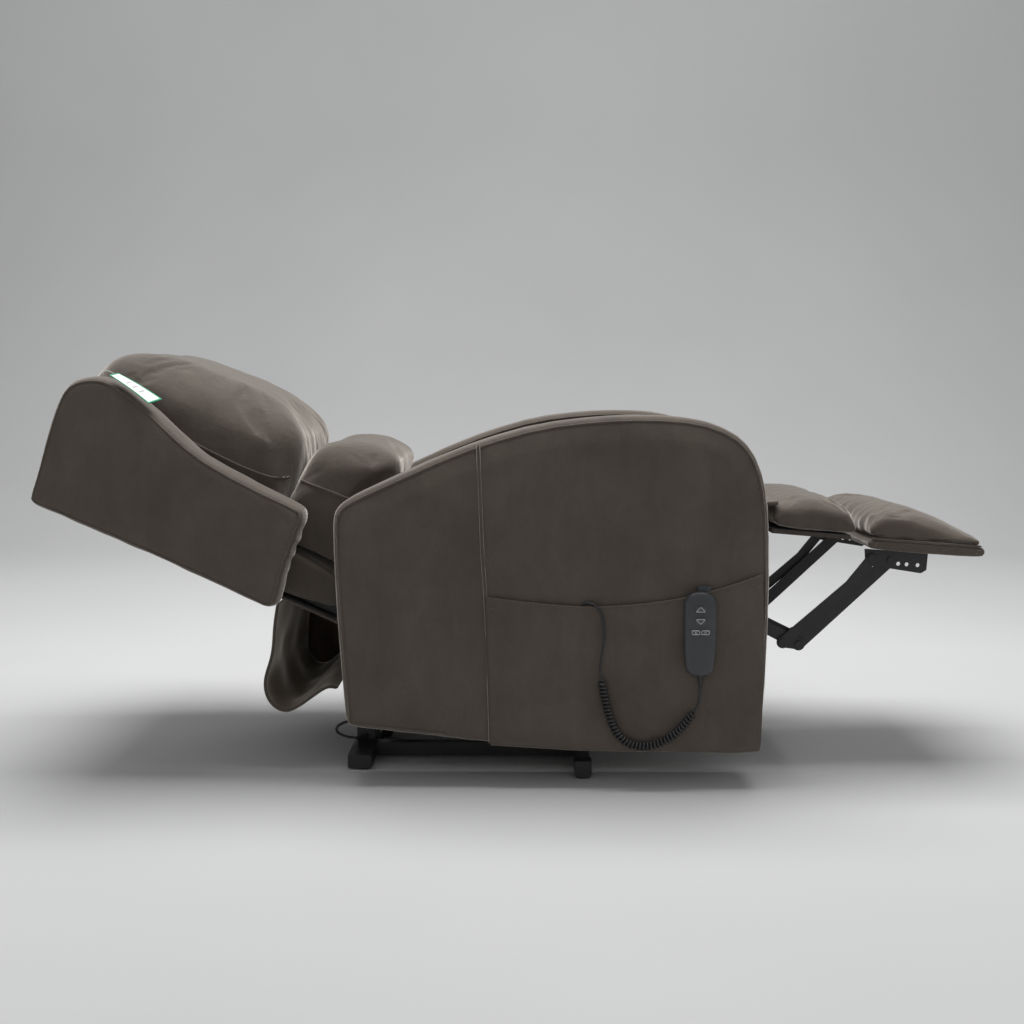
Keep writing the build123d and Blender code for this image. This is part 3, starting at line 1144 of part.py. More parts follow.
# ================================================================ everything, by node
def nodes():
    """Every node of the chair, by name."""
    lift_end = closed_tube_end(LIFT_MOTOR_REAR, LIFT_ROD_PIN, LIFT_DRIVE)
    recline_end = closed_tube_end(RECLINE_MOTOR_FRONT, LEVER_PIN, RECLINE_DRIVE)
    foot_end = closed_tube_end(FOOT_MOTOR_REAR, CRANK_PIN, FOOT_DRIVE)
    foot_start = 60 - FOOT_DRIVE["stroke"]
    parts = {
        "base_rear_tube": base_rear_tube(),
        "base_front_tube": base_front_tube(),
        "base_side_rails": base_side_rails(),
        "base_end_caps": base_end_caps(),
        "base_brackets": base_brackets(),
        "power_box": power_box(),
        "power_lead": cord_tube("power lead", POWER_LEAD, LEAD_RADIUS),
        "lift_arms": lift_arms(),
        "lift_cross_tube": lift_cross_tube(),
        "lift_links": lift_links(),
        "lift_frame": lift_frame(),
        "lift_motor": motor_housing(LIFT_MOTOR_REAR, LIFT_ROD_PIN, 0.0, 1)
        + motor_tube(LIFT_MOTOR_REAR, LIFT_ROD_PIN, 0.0, lift_end),
        "lift_rod": actuator_rod(LIFT_MOTOR_REAR, LIFT_ROD_PIN, 0.0, 60, LIFT_DRIVE),
        "side_plates": side_plates(),
        "chair_fasteners": chair_fasteners(),
        "chair_cross_tubes": chair_cross_tubes(),
        "glide_blocks": glide_blocks(),
        "seat_frame": seat_frame(),
        "seat_springs": seat_springs(),
        "seat_cushion": seat_cushion(),
        "arm_boards": arm_boards(),
        "arm_cover_left": arm_cover(1),
        "arm_cover_right": arm_cover(-1),
        "side_pocket": side_pocket(),
        "handset_body": handset_body(),
        "handset_clip": handset_clip(),
        "strain_relief": strain_relief(),
        "handset_lead_lower": cord_tube("lower lead", LOWER_LEAD, LEAD_RADIUS),
        "handset_lead_coil": cord_tube("coil", COIL, COIL_RADIUS),
        "handset_lead_upper": cord_tube("upper lead", UPPER_LEAD, LEAD_RADIUS),
        "calf_hinge_pins": calf_hinge_pins(),
        "recline_motor": motor_housing(RECLINE_MOTOR_FRONT, LEVER_PIN, RECLINE_MOTOR_Y, -1)
        + motor_tube(RECLINE_MOTOR_FRONT, LEVER_PIN, RECLINE_MOTOR_Y, recline_end),
        "recline_rod": actuator_rod(RECLINE_MOTOR_FRONT, LEVER_PIN, RECLINE_MOTOR_Y, 60, RECLINE_DRIVE),
        "footrest_motor": motor_housing(FOOT_MOTOR_REAR, CRANK_PIN, FOOT_MOTOR_Y, 1)
        + motor_tube(FOOT_MOTOR_REAR, CRANK_PIN, FOOT_MOTOR_Y, foot_end),
        "footrest_rod": actuator_rod(FOOT_MOTOR_REAR, CRANK_PIN, FOOT_MOTOR_Y, foot_start, FOOT_DRIVE),
        "rear_panel": rear_panel(),
        "back_frame": back_frame(),
        "recline_lever": recline_lever(),
        "back_core": back_core(),
        "lumbar_cushion": lumbar_cushion(),
        "head_cushion": head_cushion(),
        "wing_left": wing(1),
        "wing_right": wing(-1),
        "rear_flap": rear_flap(),
        "hang_tag": hang_tag(),
        "lower_front_links": lower_front_links(),
        "drive_shaft": drive_shaft(),
        "upper_front_links": upper_front_links(),
        "upper_rear_links": upper_rear_links(),
        "lower_rear_links": lower_rear_links(),
        "footrest_brackets": footrest_brackets(),
        "foot_board": foot_board(),
        "foot_pad": foot_pad(),
        "calf_board": calf_board(),
        "calf_pad": calf_pad(),
        "calf_hinges": calf_hinges(),
    }
    for name in BUTTONS:
        parts[name] = button(name)
    return parts


def main():
    os.makedirs("parts", exist_ok=True)
    for name, solid in nodes().items():
        export_step(solid, f"parts/{name}.step")


if __name__ == "__main__":
    main()
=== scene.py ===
import json

import bmesh
import bpy
import numpy as np
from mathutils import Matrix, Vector
from mathutils.bvhtree import BVHTree


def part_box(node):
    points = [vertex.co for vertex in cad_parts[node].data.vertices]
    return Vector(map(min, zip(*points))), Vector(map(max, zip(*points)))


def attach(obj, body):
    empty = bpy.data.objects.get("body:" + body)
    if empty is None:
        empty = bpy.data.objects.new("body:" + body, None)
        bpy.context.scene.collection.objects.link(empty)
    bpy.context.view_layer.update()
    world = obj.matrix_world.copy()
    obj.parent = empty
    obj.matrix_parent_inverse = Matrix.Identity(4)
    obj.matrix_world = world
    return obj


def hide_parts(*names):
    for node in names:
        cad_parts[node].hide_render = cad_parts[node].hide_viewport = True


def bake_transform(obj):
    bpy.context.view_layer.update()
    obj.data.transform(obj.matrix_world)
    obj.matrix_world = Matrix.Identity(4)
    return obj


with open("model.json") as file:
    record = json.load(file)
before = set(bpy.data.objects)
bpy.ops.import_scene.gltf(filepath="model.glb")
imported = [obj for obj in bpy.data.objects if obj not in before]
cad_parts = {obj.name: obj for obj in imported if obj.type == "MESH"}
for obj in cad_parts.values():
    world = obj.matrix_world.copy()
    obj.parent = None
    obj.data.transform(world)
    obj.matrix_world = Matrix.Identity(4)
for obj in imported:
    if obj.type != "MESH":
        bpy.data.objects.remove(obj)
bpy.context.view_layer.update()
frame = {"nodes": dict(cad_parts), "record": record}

bl_info = {
    "name": "Lift recliner",
    "version": (1, 0, 0),
    "blender": (4, 5, 0),
    "location": "3D View > Sidebar > Recliner",
    "description": "Upholstery, handset, lead and finishes for a powered lift recliner",
    "category": "Object",
}

ARM_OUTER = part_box("arm_cover_left")[1][1]
ARM_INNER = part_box("arm_cover_left")[0][1]
CUSHION_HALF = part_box("seat_cushion")[1][1]
RECLINE_PIVOT = np.array([-0.190, 0.330])
BACK_RISE = np.radians(24.3)

# Side outlines, as (x, z) in metres, counter-clockwise seen from the sitter's right.
ARM_OUTLINE = [(-0.315, 0.127), (-0.311, 0.114), (-0.298, 0.1105), (-0.208, 0.100), (-0.048, 0.0806),
               (0.147, 0.068),
               (0.324, 0.0648), (0.414, 0.0648), (0.434, 0.070), (0.4445, 0.090), (0.448, 0.130), (0.452,
                                                                                                   0.192),
               (0.4576, 0.352), (0.4545, 0.494), (0.4460, 0.565), (0.4240, 0.618), (0.387, 0.652), (0.324,
                                                                                                    0.6745),
               (0.236, 0.681), (0.147, 0.678), (0.040, 0.665), (-0.066, 0.635), (-0.155, 0.600), (-0.208,
                                                                                                  0.5755),
               (-0.270, 0.5475), (-0.312, 0.527), (-0.331, 0.508), (-0.335, 0.484), (-0.334, 0.423), (-0.327,
                                                                                                      0.281)]
ARM_SEAM = [(-0.0700, 0.627), (-0.0660, 0.520), (-0.0626, 0.4232), (-0.0572, 0.352), (-0.0520, 0.220),
            (-0.0484, 0.084)]
POCKET_RIM = [(-0.0572, 0.352), (0.030, 0.341), (0.129, 0.3335), (0.215, 0.3385), (0.300, 0.350),
              (0.372, 0.369), (0.443, 0.394)]
POCKET_FLOOR = (0.0790, 0.0700, 0.0655, 0.0690)
WING_OUTLINE = [(-0.8890, 0.5290), (-0.8830, 0.5185), (-0.8700, 0.5120), (-0.700, 0.4390), (-0.560, 0.3755),
                (-0.470, 0.3320),
                (-0.4580, 0.3270), (-0.4440, 0.3320), (-0.4362, 0.3578), (-0.4272, 0.3956), (-0.4128, 0.4334),
                (-0.3960, 0.4748), (-0.3890, 0.5000), (-0.3950, 0.5110), (-0.474, 0.5486), (-0.5316, 0.5792),
                (-0.5829, 0.6116), (-0.6306, 0.6548), (-0.6684, 0.6926), (-0.7053, 0.7250), (-0.7429, 0.7466),
                (-0.7764, 0.7484), (-0.807, 0.7394), (-0.8270, 0.7180), (-0.8500, 0.6550), (-0.8750, 0.5740)]
# Back outlines, as (s up the back, n forward of it) in metres from the recline pivot.
HEAD_OUTLINE = [(0.310, 0.000), (0.306, 0.080), (0.310, 0.150), (0.322, 0.188), (0.350, 0.210),
                (0.393, 0.219),
                (0.471, 0.223), (0.560, 0.219), (0.640, 0.214), (0.690, 0.205), (0.727, 0.180), (0.742,
                                                                                                 0.130),
                (0.742, 0.060), (0.730, 0.010), (0.700, -0.004), (0.500, -0.005), (0.340, -0.005)]
LUMBAR_OUTLINE = [(0.118, -0.004), (0.114, 0.040), (0.134, 0.070), (0.160, 0.100), (0.146, 0.160),
                  (0.130, 0.205),
                  (0.142, 0.228), (0.185, 0.232), (0.230, 0.221), (0.272, 0.205), (0.297, 0.183), (0.304,
                                                                                                   0.150),
                  (0.303, 0.050), (0.299, 0.000), (0.210, -0.005)]
BOXING_SEAM = {
    "head_cushion": [(0.722, 0.150), (0.690, 0.125), (0.620, 0.105), (0.504, 0.098), (0.405, 0.0935),
                     (0.340, 0.098), (0.318, 0.110)],
    "lumbar_cushion": [(0.297, 0.112), (0.269, 0.116), (0.230, 0.119), (0.197, 0.120), (0.165, 0.124)],
}
BODY_OUTLINE = [(0.113, -0.100), (0.113, -0.008), (0.711, -0.008), (0.711, -0.100)]
SEAT_OUTLINE = [(-0.150, 0.412), (-0.148, 0.470), (-0.128, 0.494), (-0.060, 0.501), (0.120, 0.501),
                (0.280, 0.500),
                (0.350, 0.494), (0.384, 0.474), (0.394, 0.445), (0.390, 0.412), (0.372, 0.402), (0.120,
                                                                                                 0.401),
                (-0.132, 0.402)]
CALF_OUTLINE = [(0.484, 0.470), (0.478, 0.488), (0.482, 0.506), (0.500, 0.5165), (0.545, 0.520),
                (0.600, 0.514),
                (0.632, 0.503), (0.642, 0.486), (0.643, 0.458), (0.630, 0.4535), (0.560, 0.461)]
BOARD_TILT = np.radians(4.1)
BOARD_REAR = np.array([0.663, 0.4465])
# Foot pad and foot board outlines, as (along the board, above it) in metres.
PAD_OUTLINE = [(0.004, 0.002), (-0.002, 0.020), (0.006, 0.044), (0.034, 0.0585), (0.080, 0.0560),
               (0.140, 0.0410),
               (0.188, 0.0205), (0.214, 0.0075), (0.216, 0.0015), (0.120, 0.0005)]
BOARD_OUTLINE = [(0.000, -0.014), (0.000, -0.006), (0.008, -0.0005), (0.212, -0.0005), (0.2215, -0.006),
                 (0.2215, -0.016),
                 (0.212, -0.022), (0.008, -0.022)]
FLAP_LINE = [(-0.456, 0.320), (-0.462, 0.280), (-0.471, 0.224), (-0.480, 0.168), (-0.471, 0.126),
             (-0.446, 0.108),
             (-0.421, 0.118), (-0.391, 0.145), (-0.365, 0.162), (-0.344, 0.158)]
# Routes of the lead, in metres.
LOWER_LEAD = [(0.330, -0.390, 0.192), (0.330, -0.390, 0.176), (0.327, -0.390, 0.160), (0.318, -0.390, 0.146)]
COIL_ROUTE = [(0.318, -0.390, 0.146), (0.300, -0.390, 0.118), (0.268, -0.390, 0.093), (0.232, -0.390, 0.081),
              (0.198, -0.390, 0.088), (0.176, -0.390, 0.113), (0.165, -0.390, 0.146), (0.157, -0.390, 0.178),
              (0.152, -0.390, 0.206)]
UPPER_LEAD = [(0.152, -0.390, 0.206), (0.148964, -0.390, 0.223), (0.152, -0.390, 0.250),
              (0.1575, -0.3885, 0.280),
              (0.156, -0.387, 0.310), (0.149, -0.3855, 0.331), (0.137, -0.3815, 0.343), (0.121, -0.375,
                                                                                         0.344),
              (0.109, -0.3735, 0.331), (0.103, -0.3735, 0.308), (0.104, -0.3735, 0.284)]

POWER_LEAD = [(-0.303, -0.130, 0.037), (-0.303, -0.143, 0.037), (-0.317, -0.153, 0.037),
              (-0.340, -0.153, 0.039),
              (-0.359, -0.152, 0.047), (-0.361, -0.151, 0.058), (-0.348, -0.151, 0.067), (-0.327, -0.153,
                                                                                          0.073),
              (-0.303, -0.153, 0.075), (-0.303, -0.130, 0.075)]


# ---------------------------------------------------------------- shape functions
def on_back(points):
    """(s, n) to (x, z): s runs up the reclined back and n stands square to it, from the recline pivot."""
    points = np.asarray(points, float)
    x = RECLINE_PIVOT[0] - points[:, 0] * np.cos(BACK_RISE) + points[:, 1] * np.sin(BACK_RISE)
    z = RECLINE_PIVOT[1] + points[:, 0] * np.sin(BACK_RISE) + points[:, 1] * np.cos(BACK_RISE)
    return np.stack([x, z], axis=1)


def on_board(points):
    """(along, up) to (x, z): along runs down the foot board's upper face and up stands square to it."""
    points = np.asarray(points, float)
    x = BOARD_REAR[0] + points[:, 0] * np.cos(BOARD_TILT) + points[:, 1] * np.sin(BOARD_TILT)
    z = BOARD_REAR[1] - points[:, 0] * np.sin(BOARD_TILT) + points[:, 1] * np.cos(BOARD_TILT)
    return np.stack([x, z], axis=1)


def evenly(points, count, closed):
    """The same line with its points at equal steps of length."""
    points = np.asarray(points, float)
    if closed:
        points = np.vstack([points, points[:1]])
    lengths = np.concatenate([[0.0], np.cumsum(np.linalg.norm(np.diff(points, axis=0), axis=1))])
    steps = np.linspace(0.0, lengths[-1], count + 1 if closed else count)
    line = np.stack([np.interp(steps, lengths, points[:, i]) for i in range(points.shape[1])], axis=1)
    return line[:-1] if closed else line


def rounded(points, rounds, closed):
    """Corner cutting: each pass puts two points on every side, a quarter of the way in from its ends."""
    points = np.asarray(points, float)
    for _ in range(rounds):
        following = np.roll(points, -1, axis=0) if closed else points[1:]
        leading = points if closed else points[:-1]
        near = 0.75 * leading + 0.25 * following
        far = 0.25 * leading + 0.75 * following
        cut = np.stack([near, far], axis=1).reshape(-1, points.shape[1])
        points = cut if closed else np.vstack([points[:1], cut, points[-1:]])
    return points


def outward(loop):
    """Unit normals of a closed counter-clockwise (x, z) loop, smoothed over the neighbouring sides."""
    along = np.roll(loop, -2, axis=0) - np.roll(loop, 2, axis=0)
    normals = np.stack([along[:, 1], -along[:, 0]], axis=1)
    normals /= np.linalg.norm(normals, axis=1, keepdims=True)
    area = 0.5 * np.sum(loop[:, 0] * np.roll(loop[:, 1], -1) - np.roll(loop[:, 0], -1) * loop[:, 1])
    return normals if area > 0 else -normals


def ripple(points, wave, seed, terms=7):
    """A sum of sine waves in random directions, about one wave length long, from -1 to 1."""
    chance = np.random.default_rng(seed)
    total = np.zeros(len(points))
    for _ in range(terms):
        direction = chance.normal(size=points.shape[1])
        direction *= 2 * np.pi / wave / np.linalg.norm(direction) * chance.uniform(0.6, 1.5)
        total += np.sin(points @ direction + chance.uniform(0, 2 * np.pi))
    return total / terms**0.5 / 1.4


def near_line(points, line):
    """Distance from each point to the nearest part of a line, in the plane of both."""
    start = line[:-1][None]
    side = (line[1:] - line[:-1])[None]
    offset = points[:, None] - start
    share = np.clip(np.sum(offset * side, axis=2) / np.maximum(np.sum(side * side, axis=2), 1e-12), 0, 1)
    return np.min(np.linalg.norm(offset - share[..., None] * side, axis=2), axis=1)


def ease(values, low, high):
    """Smooth step from 0 at low to 1 at high."""
    share = np.clip((np.asarray(values, float) - low) / (high - low), 0, 1)
    return share * share * (3 - 2 * share)


# ---------------------------------------------------------------- meshes
def finish_mesh(name, points, faces, slot, body=None, smooth=True):
    """A mesh object from a point array and a face list, with its material slot and body."""
    mesh = bpy.data.meshes.new(name)
    mesh.from_pydata(np.asarray(points).tolist(), [], faces)
    mesh.validate()
    mesh.update()
    mesh.polygons.foreach_set("use_smooth", np.full(len(mesh.polygons), smooth))
    piece = bpy.data.objects.new(name, mesh)
    bpy.context.scene.collection.objects.link(piece)
    mesh.materials.append(FINISHES[slot])
    if body:
        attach(piece, body)
    return piece


def grid_faces(rows, columns, around=False, first=0):
    """Quads of a grid of points stored row by row, joined round its columns if it closes on itself."""
    row, column = np.meshgrid(np.arange(rows - 1), np.arange(columns if around else columns - 1),
                              indexing="ij")
    after = (column + 1) % columns
    quads = np.stack([row * columns + column, row * columns + after, (row + 1) * columns + after,
                      (row + 1) * columns + column], axis=2)
    return (quads.reshape(-1, 4) + first).tolist()


def set_uv(piece, name, uv):
    """A UV map from one (u, v) pair for each vertex."""
    mesh = piece.data
    loops = np.empty(len(mesh.loops), int)
    mesh.loops.foreach_get("vertex_index", loops)
    layer = mesh.uv_layers.new(name=name)
    layer.data.foreach_set("uv", np.asarray(uv, np.float32)[loops].ravel())


def positions(piece):
    points = np.empty(len(piece.data.vertices) * 3)
    piece.data.vertices.foreach_get("co", points)
    return points.reshape(-1, 3)


def facing(piece):
    normals = np.empty(len(piece.data.vertices) * 3)
    piece.data.vertex_normals.foreach_get("vector", normals)
    return normals.reshape(-1, 3)


def place(piece, points):
    piece.data.vertices.foreach_set("co", np.asarray(points).ravel())
    piece.data.update()


def swell(piece, heights):
    """Every vertex moves along its own normal by its height."""
    place(piece, positions(piece) + facing(piece) * np.asarray(heights)[:, None])


def fix_normals(piece):
    """Merges doubles, then turns every face outwards."""
    mesh = bmesh.new()
    mesh.from_mesh(piece.data)
    bmesh.ops.remove_doubles(mesh, verts=mesh.verts, dist=1e-5)
    bmesh.ops.recalc_face_normals(mesh, faces=mesh.faces)
    mesh.to_mesh(piece.data)
    mesh.free()
    piece.data.polygons.foreach_set("use_smooth", np.full(len(piece.data.polygons), True))
    piece.data.update()


def settled(vectors, step, width):
    """Vectors round a closed loop, each the bell-weighted mean of its neighbours: an inset never folds."""
    count = len(vectors)
    apart = np.minimum(np.arange(count), count - np.arange(count)) * step
    weight = np.exp(-0.5 * (apart / max(width, 1e-6)) ** 2)
    mean = np.fft.ifft(np.fft.fft(vectors, axis=0) * np.fft.fft(weight / weight.sum())[:, None], axis=0)
    return np.real(mean)


def padded_loop(name, outline, low, high, roll, crown, bulge, slot, body=None, step=0.007, rounds=2,
                depth=None, fall=None):
    """A stuffed form: a closed side outline carried across the chair from y = low to y = high.

    Each ring of the form is the outline drawn in by a distance.  Across an edge the distance and
    y follow a quarter ellipse, roll in the outline's plane and depth across the chair; fall scales
    the distance round the outline.  Between the edges the outline swells by
    bulge * sin(pi * share across), and each face closes in on its middle while it swells
    outwards by crown * (1 - (1 - share in)^2).
    """
    depth = roll if depth is None else depth
    loop = rounded(outline, rounds, True)
    girth = np.sum(np.linalg.norm(np.roll(loop, -1, axis=0) - loop, axis=1))
    loop = evenly(loop, int(girth / step), True)
    normals = settled(outward(loop), girth / len(loop), 0.9 * roll)
    if fall is not None:
        normals = normals * fall(loop)[:, None]
    middle = (loop - roll * normals).mean(axis=0)
    reach = np.linalg.norm(loop - middle, axis=1).max()
    face_rings = max(int(reach / step), 6)
    roll_rings = max(int(1.6 * max(roll, depth) / step), 4)
    band_rings = max(int((high - low - 2 * depth) / step), 4)
    inward = np.linspace(1, 0, face_rings + 1)[1:]
    quarter = np.linspace(0, np.pi / 2, roll_rings + 1)[1:]
    across = np.linspace(0, 1, band_rings + 1)[1:-1]
    side_draw = np.concatenate([np.full(face_rings, roll), roll * (1 - np.sin(quarter))])
    side_share = np.concatenate([inward, np.zeros(roll_rings)])
    side_depth = np.concatenate([-crown * (1 - (1 - inward) ** 2), depth * (1 - np.cos(quarter))])
    draw = np.concatenate([side_draw, -bulge * np.sin(np.pi * across), side_draw[::-1]])
    share = np.concatenate([side_share, np.zeros(len(across)), side_share[::-1]])
    y = np.concatenate([low + side_depth, low + depth + across * (high - low - 2 * depth),
                        (high - side_depth)[::-1]])
    rings = loop[None] - draw[:, None, None] * normals[None]
    rings = rings + share[:, None, None] * (middle - rings)
    points = np.empty(rings.shape[:2] + (3,))
    points[..., 0] = rings[..., 0]
    points[..., 1] = y[:, None]
    points[..., 2] = rings[..., 1]
    count = len(loop)
    total = len(points) * count
    poles = [(middle[0], low - crown, middle[1]), (middle[0], high + crown, middle[1])]
    faces = grid_faces(len(points), count, True)
    faces += [(total, (i + 1) % count, i) for i in range(count)]
    faces += [(total + 1, total - count + i, total - count + (i + 1) % count) for i in range(count)]
    piece = finish_mesh(name, np.vstack([points.reshape(-1, 3), poles]), faces, slot)
    fix_normals(piece)
    if body:
        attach(piece, body)
    return piece


def cord_along(name, path, radius, slot, body=None, sides=10, closed=False):
    """A round cord: a circle carried along a path, square to it, with its ends drawn to a point."""
    path = np.asarray(path, float)
    if closed:
        along = np.roll(path, -1, axis=0) - np.roll(path, 1, axis=0)
    else:
        along = np.gradient(path, axis=0)
    along /= np.linalg.norm(along, axis=1, keepdims=True)
    helper = np.where(np.abs(along[:, 1:2]) < 0.9, [[0.0, 1.0, 0.0]], [[1.0, 0.0, 0.0]])
    first = np.cross(along, helper)
    first /= np.linalg.norm(first, axis=1, keepdims=True)
    second = np.cross(along, first)
    turn = np.linspace(0, 2 * np.pi, sides, endpoint=False)
    width = np.full(len(path), radius)
    if not closed:
        width[[0, -1]] = radius * 0.05
    ring = np.cos(turn)[None, :, None] * first[:, None] + np.sin(turn)[None, :, None] * second[:, None]
    points = path[:, None] + width[:, None, None] * ring
    rows = len(path)
    faces = grid_faces(rows, sides, True)
    if closed:
        last = (rows - 1) * sides
        faces += [(last + i, last + (i + 1) % sides, (i + 1) % sides, i) for i in range(sides)]
    else:
        faces += [tuple(range(sides))[::-1], tuple(range((rows - 1) * sides, rows * sides))]
    piece = finish_mesh(name, points.reshape(-1, 3), faces, slot)
    fix_normals(piece)
    if body:
        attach(piece, body)
    return piece


def inflate(piece, cap, held=None, pressure=4.0, voxel=0.005):
    """Stuffs a closed form: cloth over an even mesh, under pressure, that may move as far as the cap."""
    remesh = piece.modifiers.new("even", "REMESH")
    remesh.mode = "VOXEL"
    remesh.voxel_size = voxel
    bake(piece)
    rest = positions(piece)
    if held is not None:
        group = piece.vertex_groups.new(name="held")
        group.add(np.nonzero(held(rest))[0].tolist(), 1.0, "REPLACE")
    cloth = piece.modifiers.new("cover", "CLOTH")
    settings = cloth.settings
    settings.quality = 5
    settings.use_pressure = True
    settings.uniform_pressure_force = pressure
    settings.effector_weights.gravity = 0.0
    settings.tension_stiffness = 12.0
    settings.compression_stiffness = 12.0
    settings.bending_stiffness = 0.6
    if held is not None:
        settings.vertex_group_mass = "held"
    cloth.point_cache.frame_start = 1
    cloth.point_cache.frame_end = 20
    for number in range(1, 21):
        bpy.context.scene.frame_set(number)
    bake(piece)
    bpy.context.scene.frame_set(1)
    move = positions(piece) - rest
    length = np.linalg.norm(move, axis=1)
    move *= (cap * np.tanh(length / cap) / np.maximum(length, 1e-9))[:, None]
    place(piece, rest + move)
    smooth = piece.modifiers.new("finer", "SUBSURF")
    smooth.levels = smooth.render_levels = 1
    bake(piece)
    piece.vertex_groups.clear()


def evened(piece, voxel):
    """An even mesh over the same form, lightly relaxed."""
    remesh = piece.modifiers.new("even", "REMESH")
    remesh.mode = "VOXEL"
    remesh.voxel_size = voxel
    relax = piece.modifiers.new("relax", "SMOOTH")
    relax.factor = 0.5
    relax.iterations = 6
    bake(piece)


def laid_on(piece, line, side, lift):
    """A side-view line laid on a form's outer face, a little above the cloth."""
    mesh = piece.data
    corners = positions(piece)
    tree = BVHTree.FromPolygons(corners.tolist(), [tuple(face.vertices) for face in mesh.polygons])
    y = []
    for x, z in line:
        hit = tree.ray_cast(Vector((x, side * 0.6, z)), Vector((0.0, -side, 0.0)))[0]
        y.append(side * (abs(hit.y) + lift) if hit else np.nan)
    y = np.array(y)
    found = np.isfinite(y)
    return side_line(np.asarray(line)[found], y[found])


def bake(piece):
    """Replaces the mesh by what its modifiers make of it, and removes them."""
    graph = bpy.context.evaluated_depsgraph_get()
    made = bpy.data.meshes.new_from_object(piece.evaluated_get(graph), depsgraph=graph)
    old = piece.data
    piece.modifiers.clear()
    piece.data = made
    bpy.data.meshes.remove(old)
    made.polygons.foreach_set("use_smooth", np.full(len(made.polygons), True))
    made.update()


# ---------------------------------------------------------------- finishes
FINISHES = {}


class Finish:
    """A material with a short way to add and join its nodes."""

    def __init__(self, name):
        self.material = bpy.data.materials.new(name)
        self.material.use_nodes = True
        self.tree = self.material.node_tree
        self.shader = self.tree.nodes["Principled BSDF"]
        FINISHES[name] = self.material

    def node(self, kind, inputs=None, **settings):
        made = self.tree.nodes.new("ShaderNode" + kind)
        for key, value in settings.items():
            setattr(made, key, value)
        for key, value in (inputs or {}).items():
            self.join(value, made.inputs[key])
        return made

    def join(self, value, socket):
        if isinstance(value, bpy.types.NodeSocket):
            self.tree.links.new(value, socket)
        else:
            socket.default_value = value

    def place(self, scale=(1, 1, 1), uv=None, turn=(0, 0, 0)):
        if uv:
            source = self.node("UVMap", uv_map=uv).outputs[0]
        else:
            source = self.node("TexCoord").outputs["Object"]
        return self.node("Mapping", {"Vector": source, "Scale": scale, "Rotation": turn}).outputs[0]

    def noise(self, where, scale, detail=3.0, roughness=0.55, distortion=0.0):
        return self.node("TexNoise", {"Vector": where, "Scale": scale, "Detail": detail,
                                      "Roughness": roughness,
                                      "Distortion": distortion}).outputs["Fac"]

    def ramp(self, value, stops):
        made = self.node("ValToRGB", {"Fac": value})
        while len(made.color_ramp.elements) < len(stops):
            made.color_ramp.elements.new(0.5)
        for element, (where, colour) in zip(made.color_ramp.elements, stops):
            element.position = where
            element.color = (*colour, 1.0) if len(colour) == 3 else colour
        return made.outputs["Color"]

    def mix(self, share, first, second, kind="MIX"):
        made = self.node("Mix", data_type="RGBA", blend_type=kind)
        self.join(share, made.inputs[0])
        self.join(first, made.inputs[6])
        self.join(second, made.inputs[7])
        return made.outputs[2]

    def math(self, operation, first, second=0.0, third=0.0):
        made = self.node("Math", operation=operation)
        for socket, value in zip(made.inputs, (first, second, third)):
            self.join(value, socket)
        return made.outputs[0]

    def bump(self, height, strength, distance, before=None):
        inputs = {"Height": height, "Strength": strength, "Distance": distance}
        if before is not None:
            inputs["Normal"] = before
        return self.node("Bump", inputs).outputs[0]

    def set(self, **values):
        for key, value in values.items():
            self.join(value, self.shader.inputs[key.replace("_", " ")])


def shade(colour, share):
    return tuple(min(1.0, part * share) for part in colour)


def make_nap(name, colour, relief=1.0):
    """Brushed microfibre: soft cloudy light and dark where the nap lies over, with a fine short pile."""
    cloth = Finish(name)
    where = cloth.place()
    clouds = cloth.noise(where, 7.0, 4.0, 0.6, 0.4)
    strokes = cloth.noise(cloth.place((26, 26, 9), turn=(0.3, 0.5, 0.2)), 1.0, 4.0, 0.65, 0.8)
    pile = cloth.noise(where, 900.0, 2.0, 0.6)
    grain = cloth.noise(where, 160.0, 3.0, 0.7)
    base = cloth.ramp(clouds, [(0.30, shade(colour, 0.86)), (0.52, colour), (0.74, shade(colour, 1.14))])
    brushed = cloth.ramp(strokes, [(0.34, (0.44,) * 3), (0.52, (0.5,) * 3), (0.72, (0.57,) * 3)])
    base = cloth.mix(0.6, base, brushed, "OVERLAY")
    fibre = cloth.ramp(pile, [(0.30, (0.40,) * 3), (0.70, (0.60,) * 3)])
    base = cloth.mix(0.5, base, fibre, "OVERLAY")
    rough = cloth.math("MULTIPLY_ADD", grain, 0.22, 0.68)
    first = cloth.bump(cloth.noise(where, 34.0, 3.0, 0.6, 0.6), 0.30 * relief, 0.004)
    second = cloth.bump(grain, 0.35, 0.0008, first)
    cloth.set(Base_Color=base, Roughness=rough, Normal=cloth.bump(pile, 0.5, 0.0004, second))
    cloth.set(Sheen_Weight=1.0, Sheen_Roughness=0.32, Sheen_Tint=(1.0, 0.93, 0.85, 1.0),
              Specular_IOR_Level=0.30)


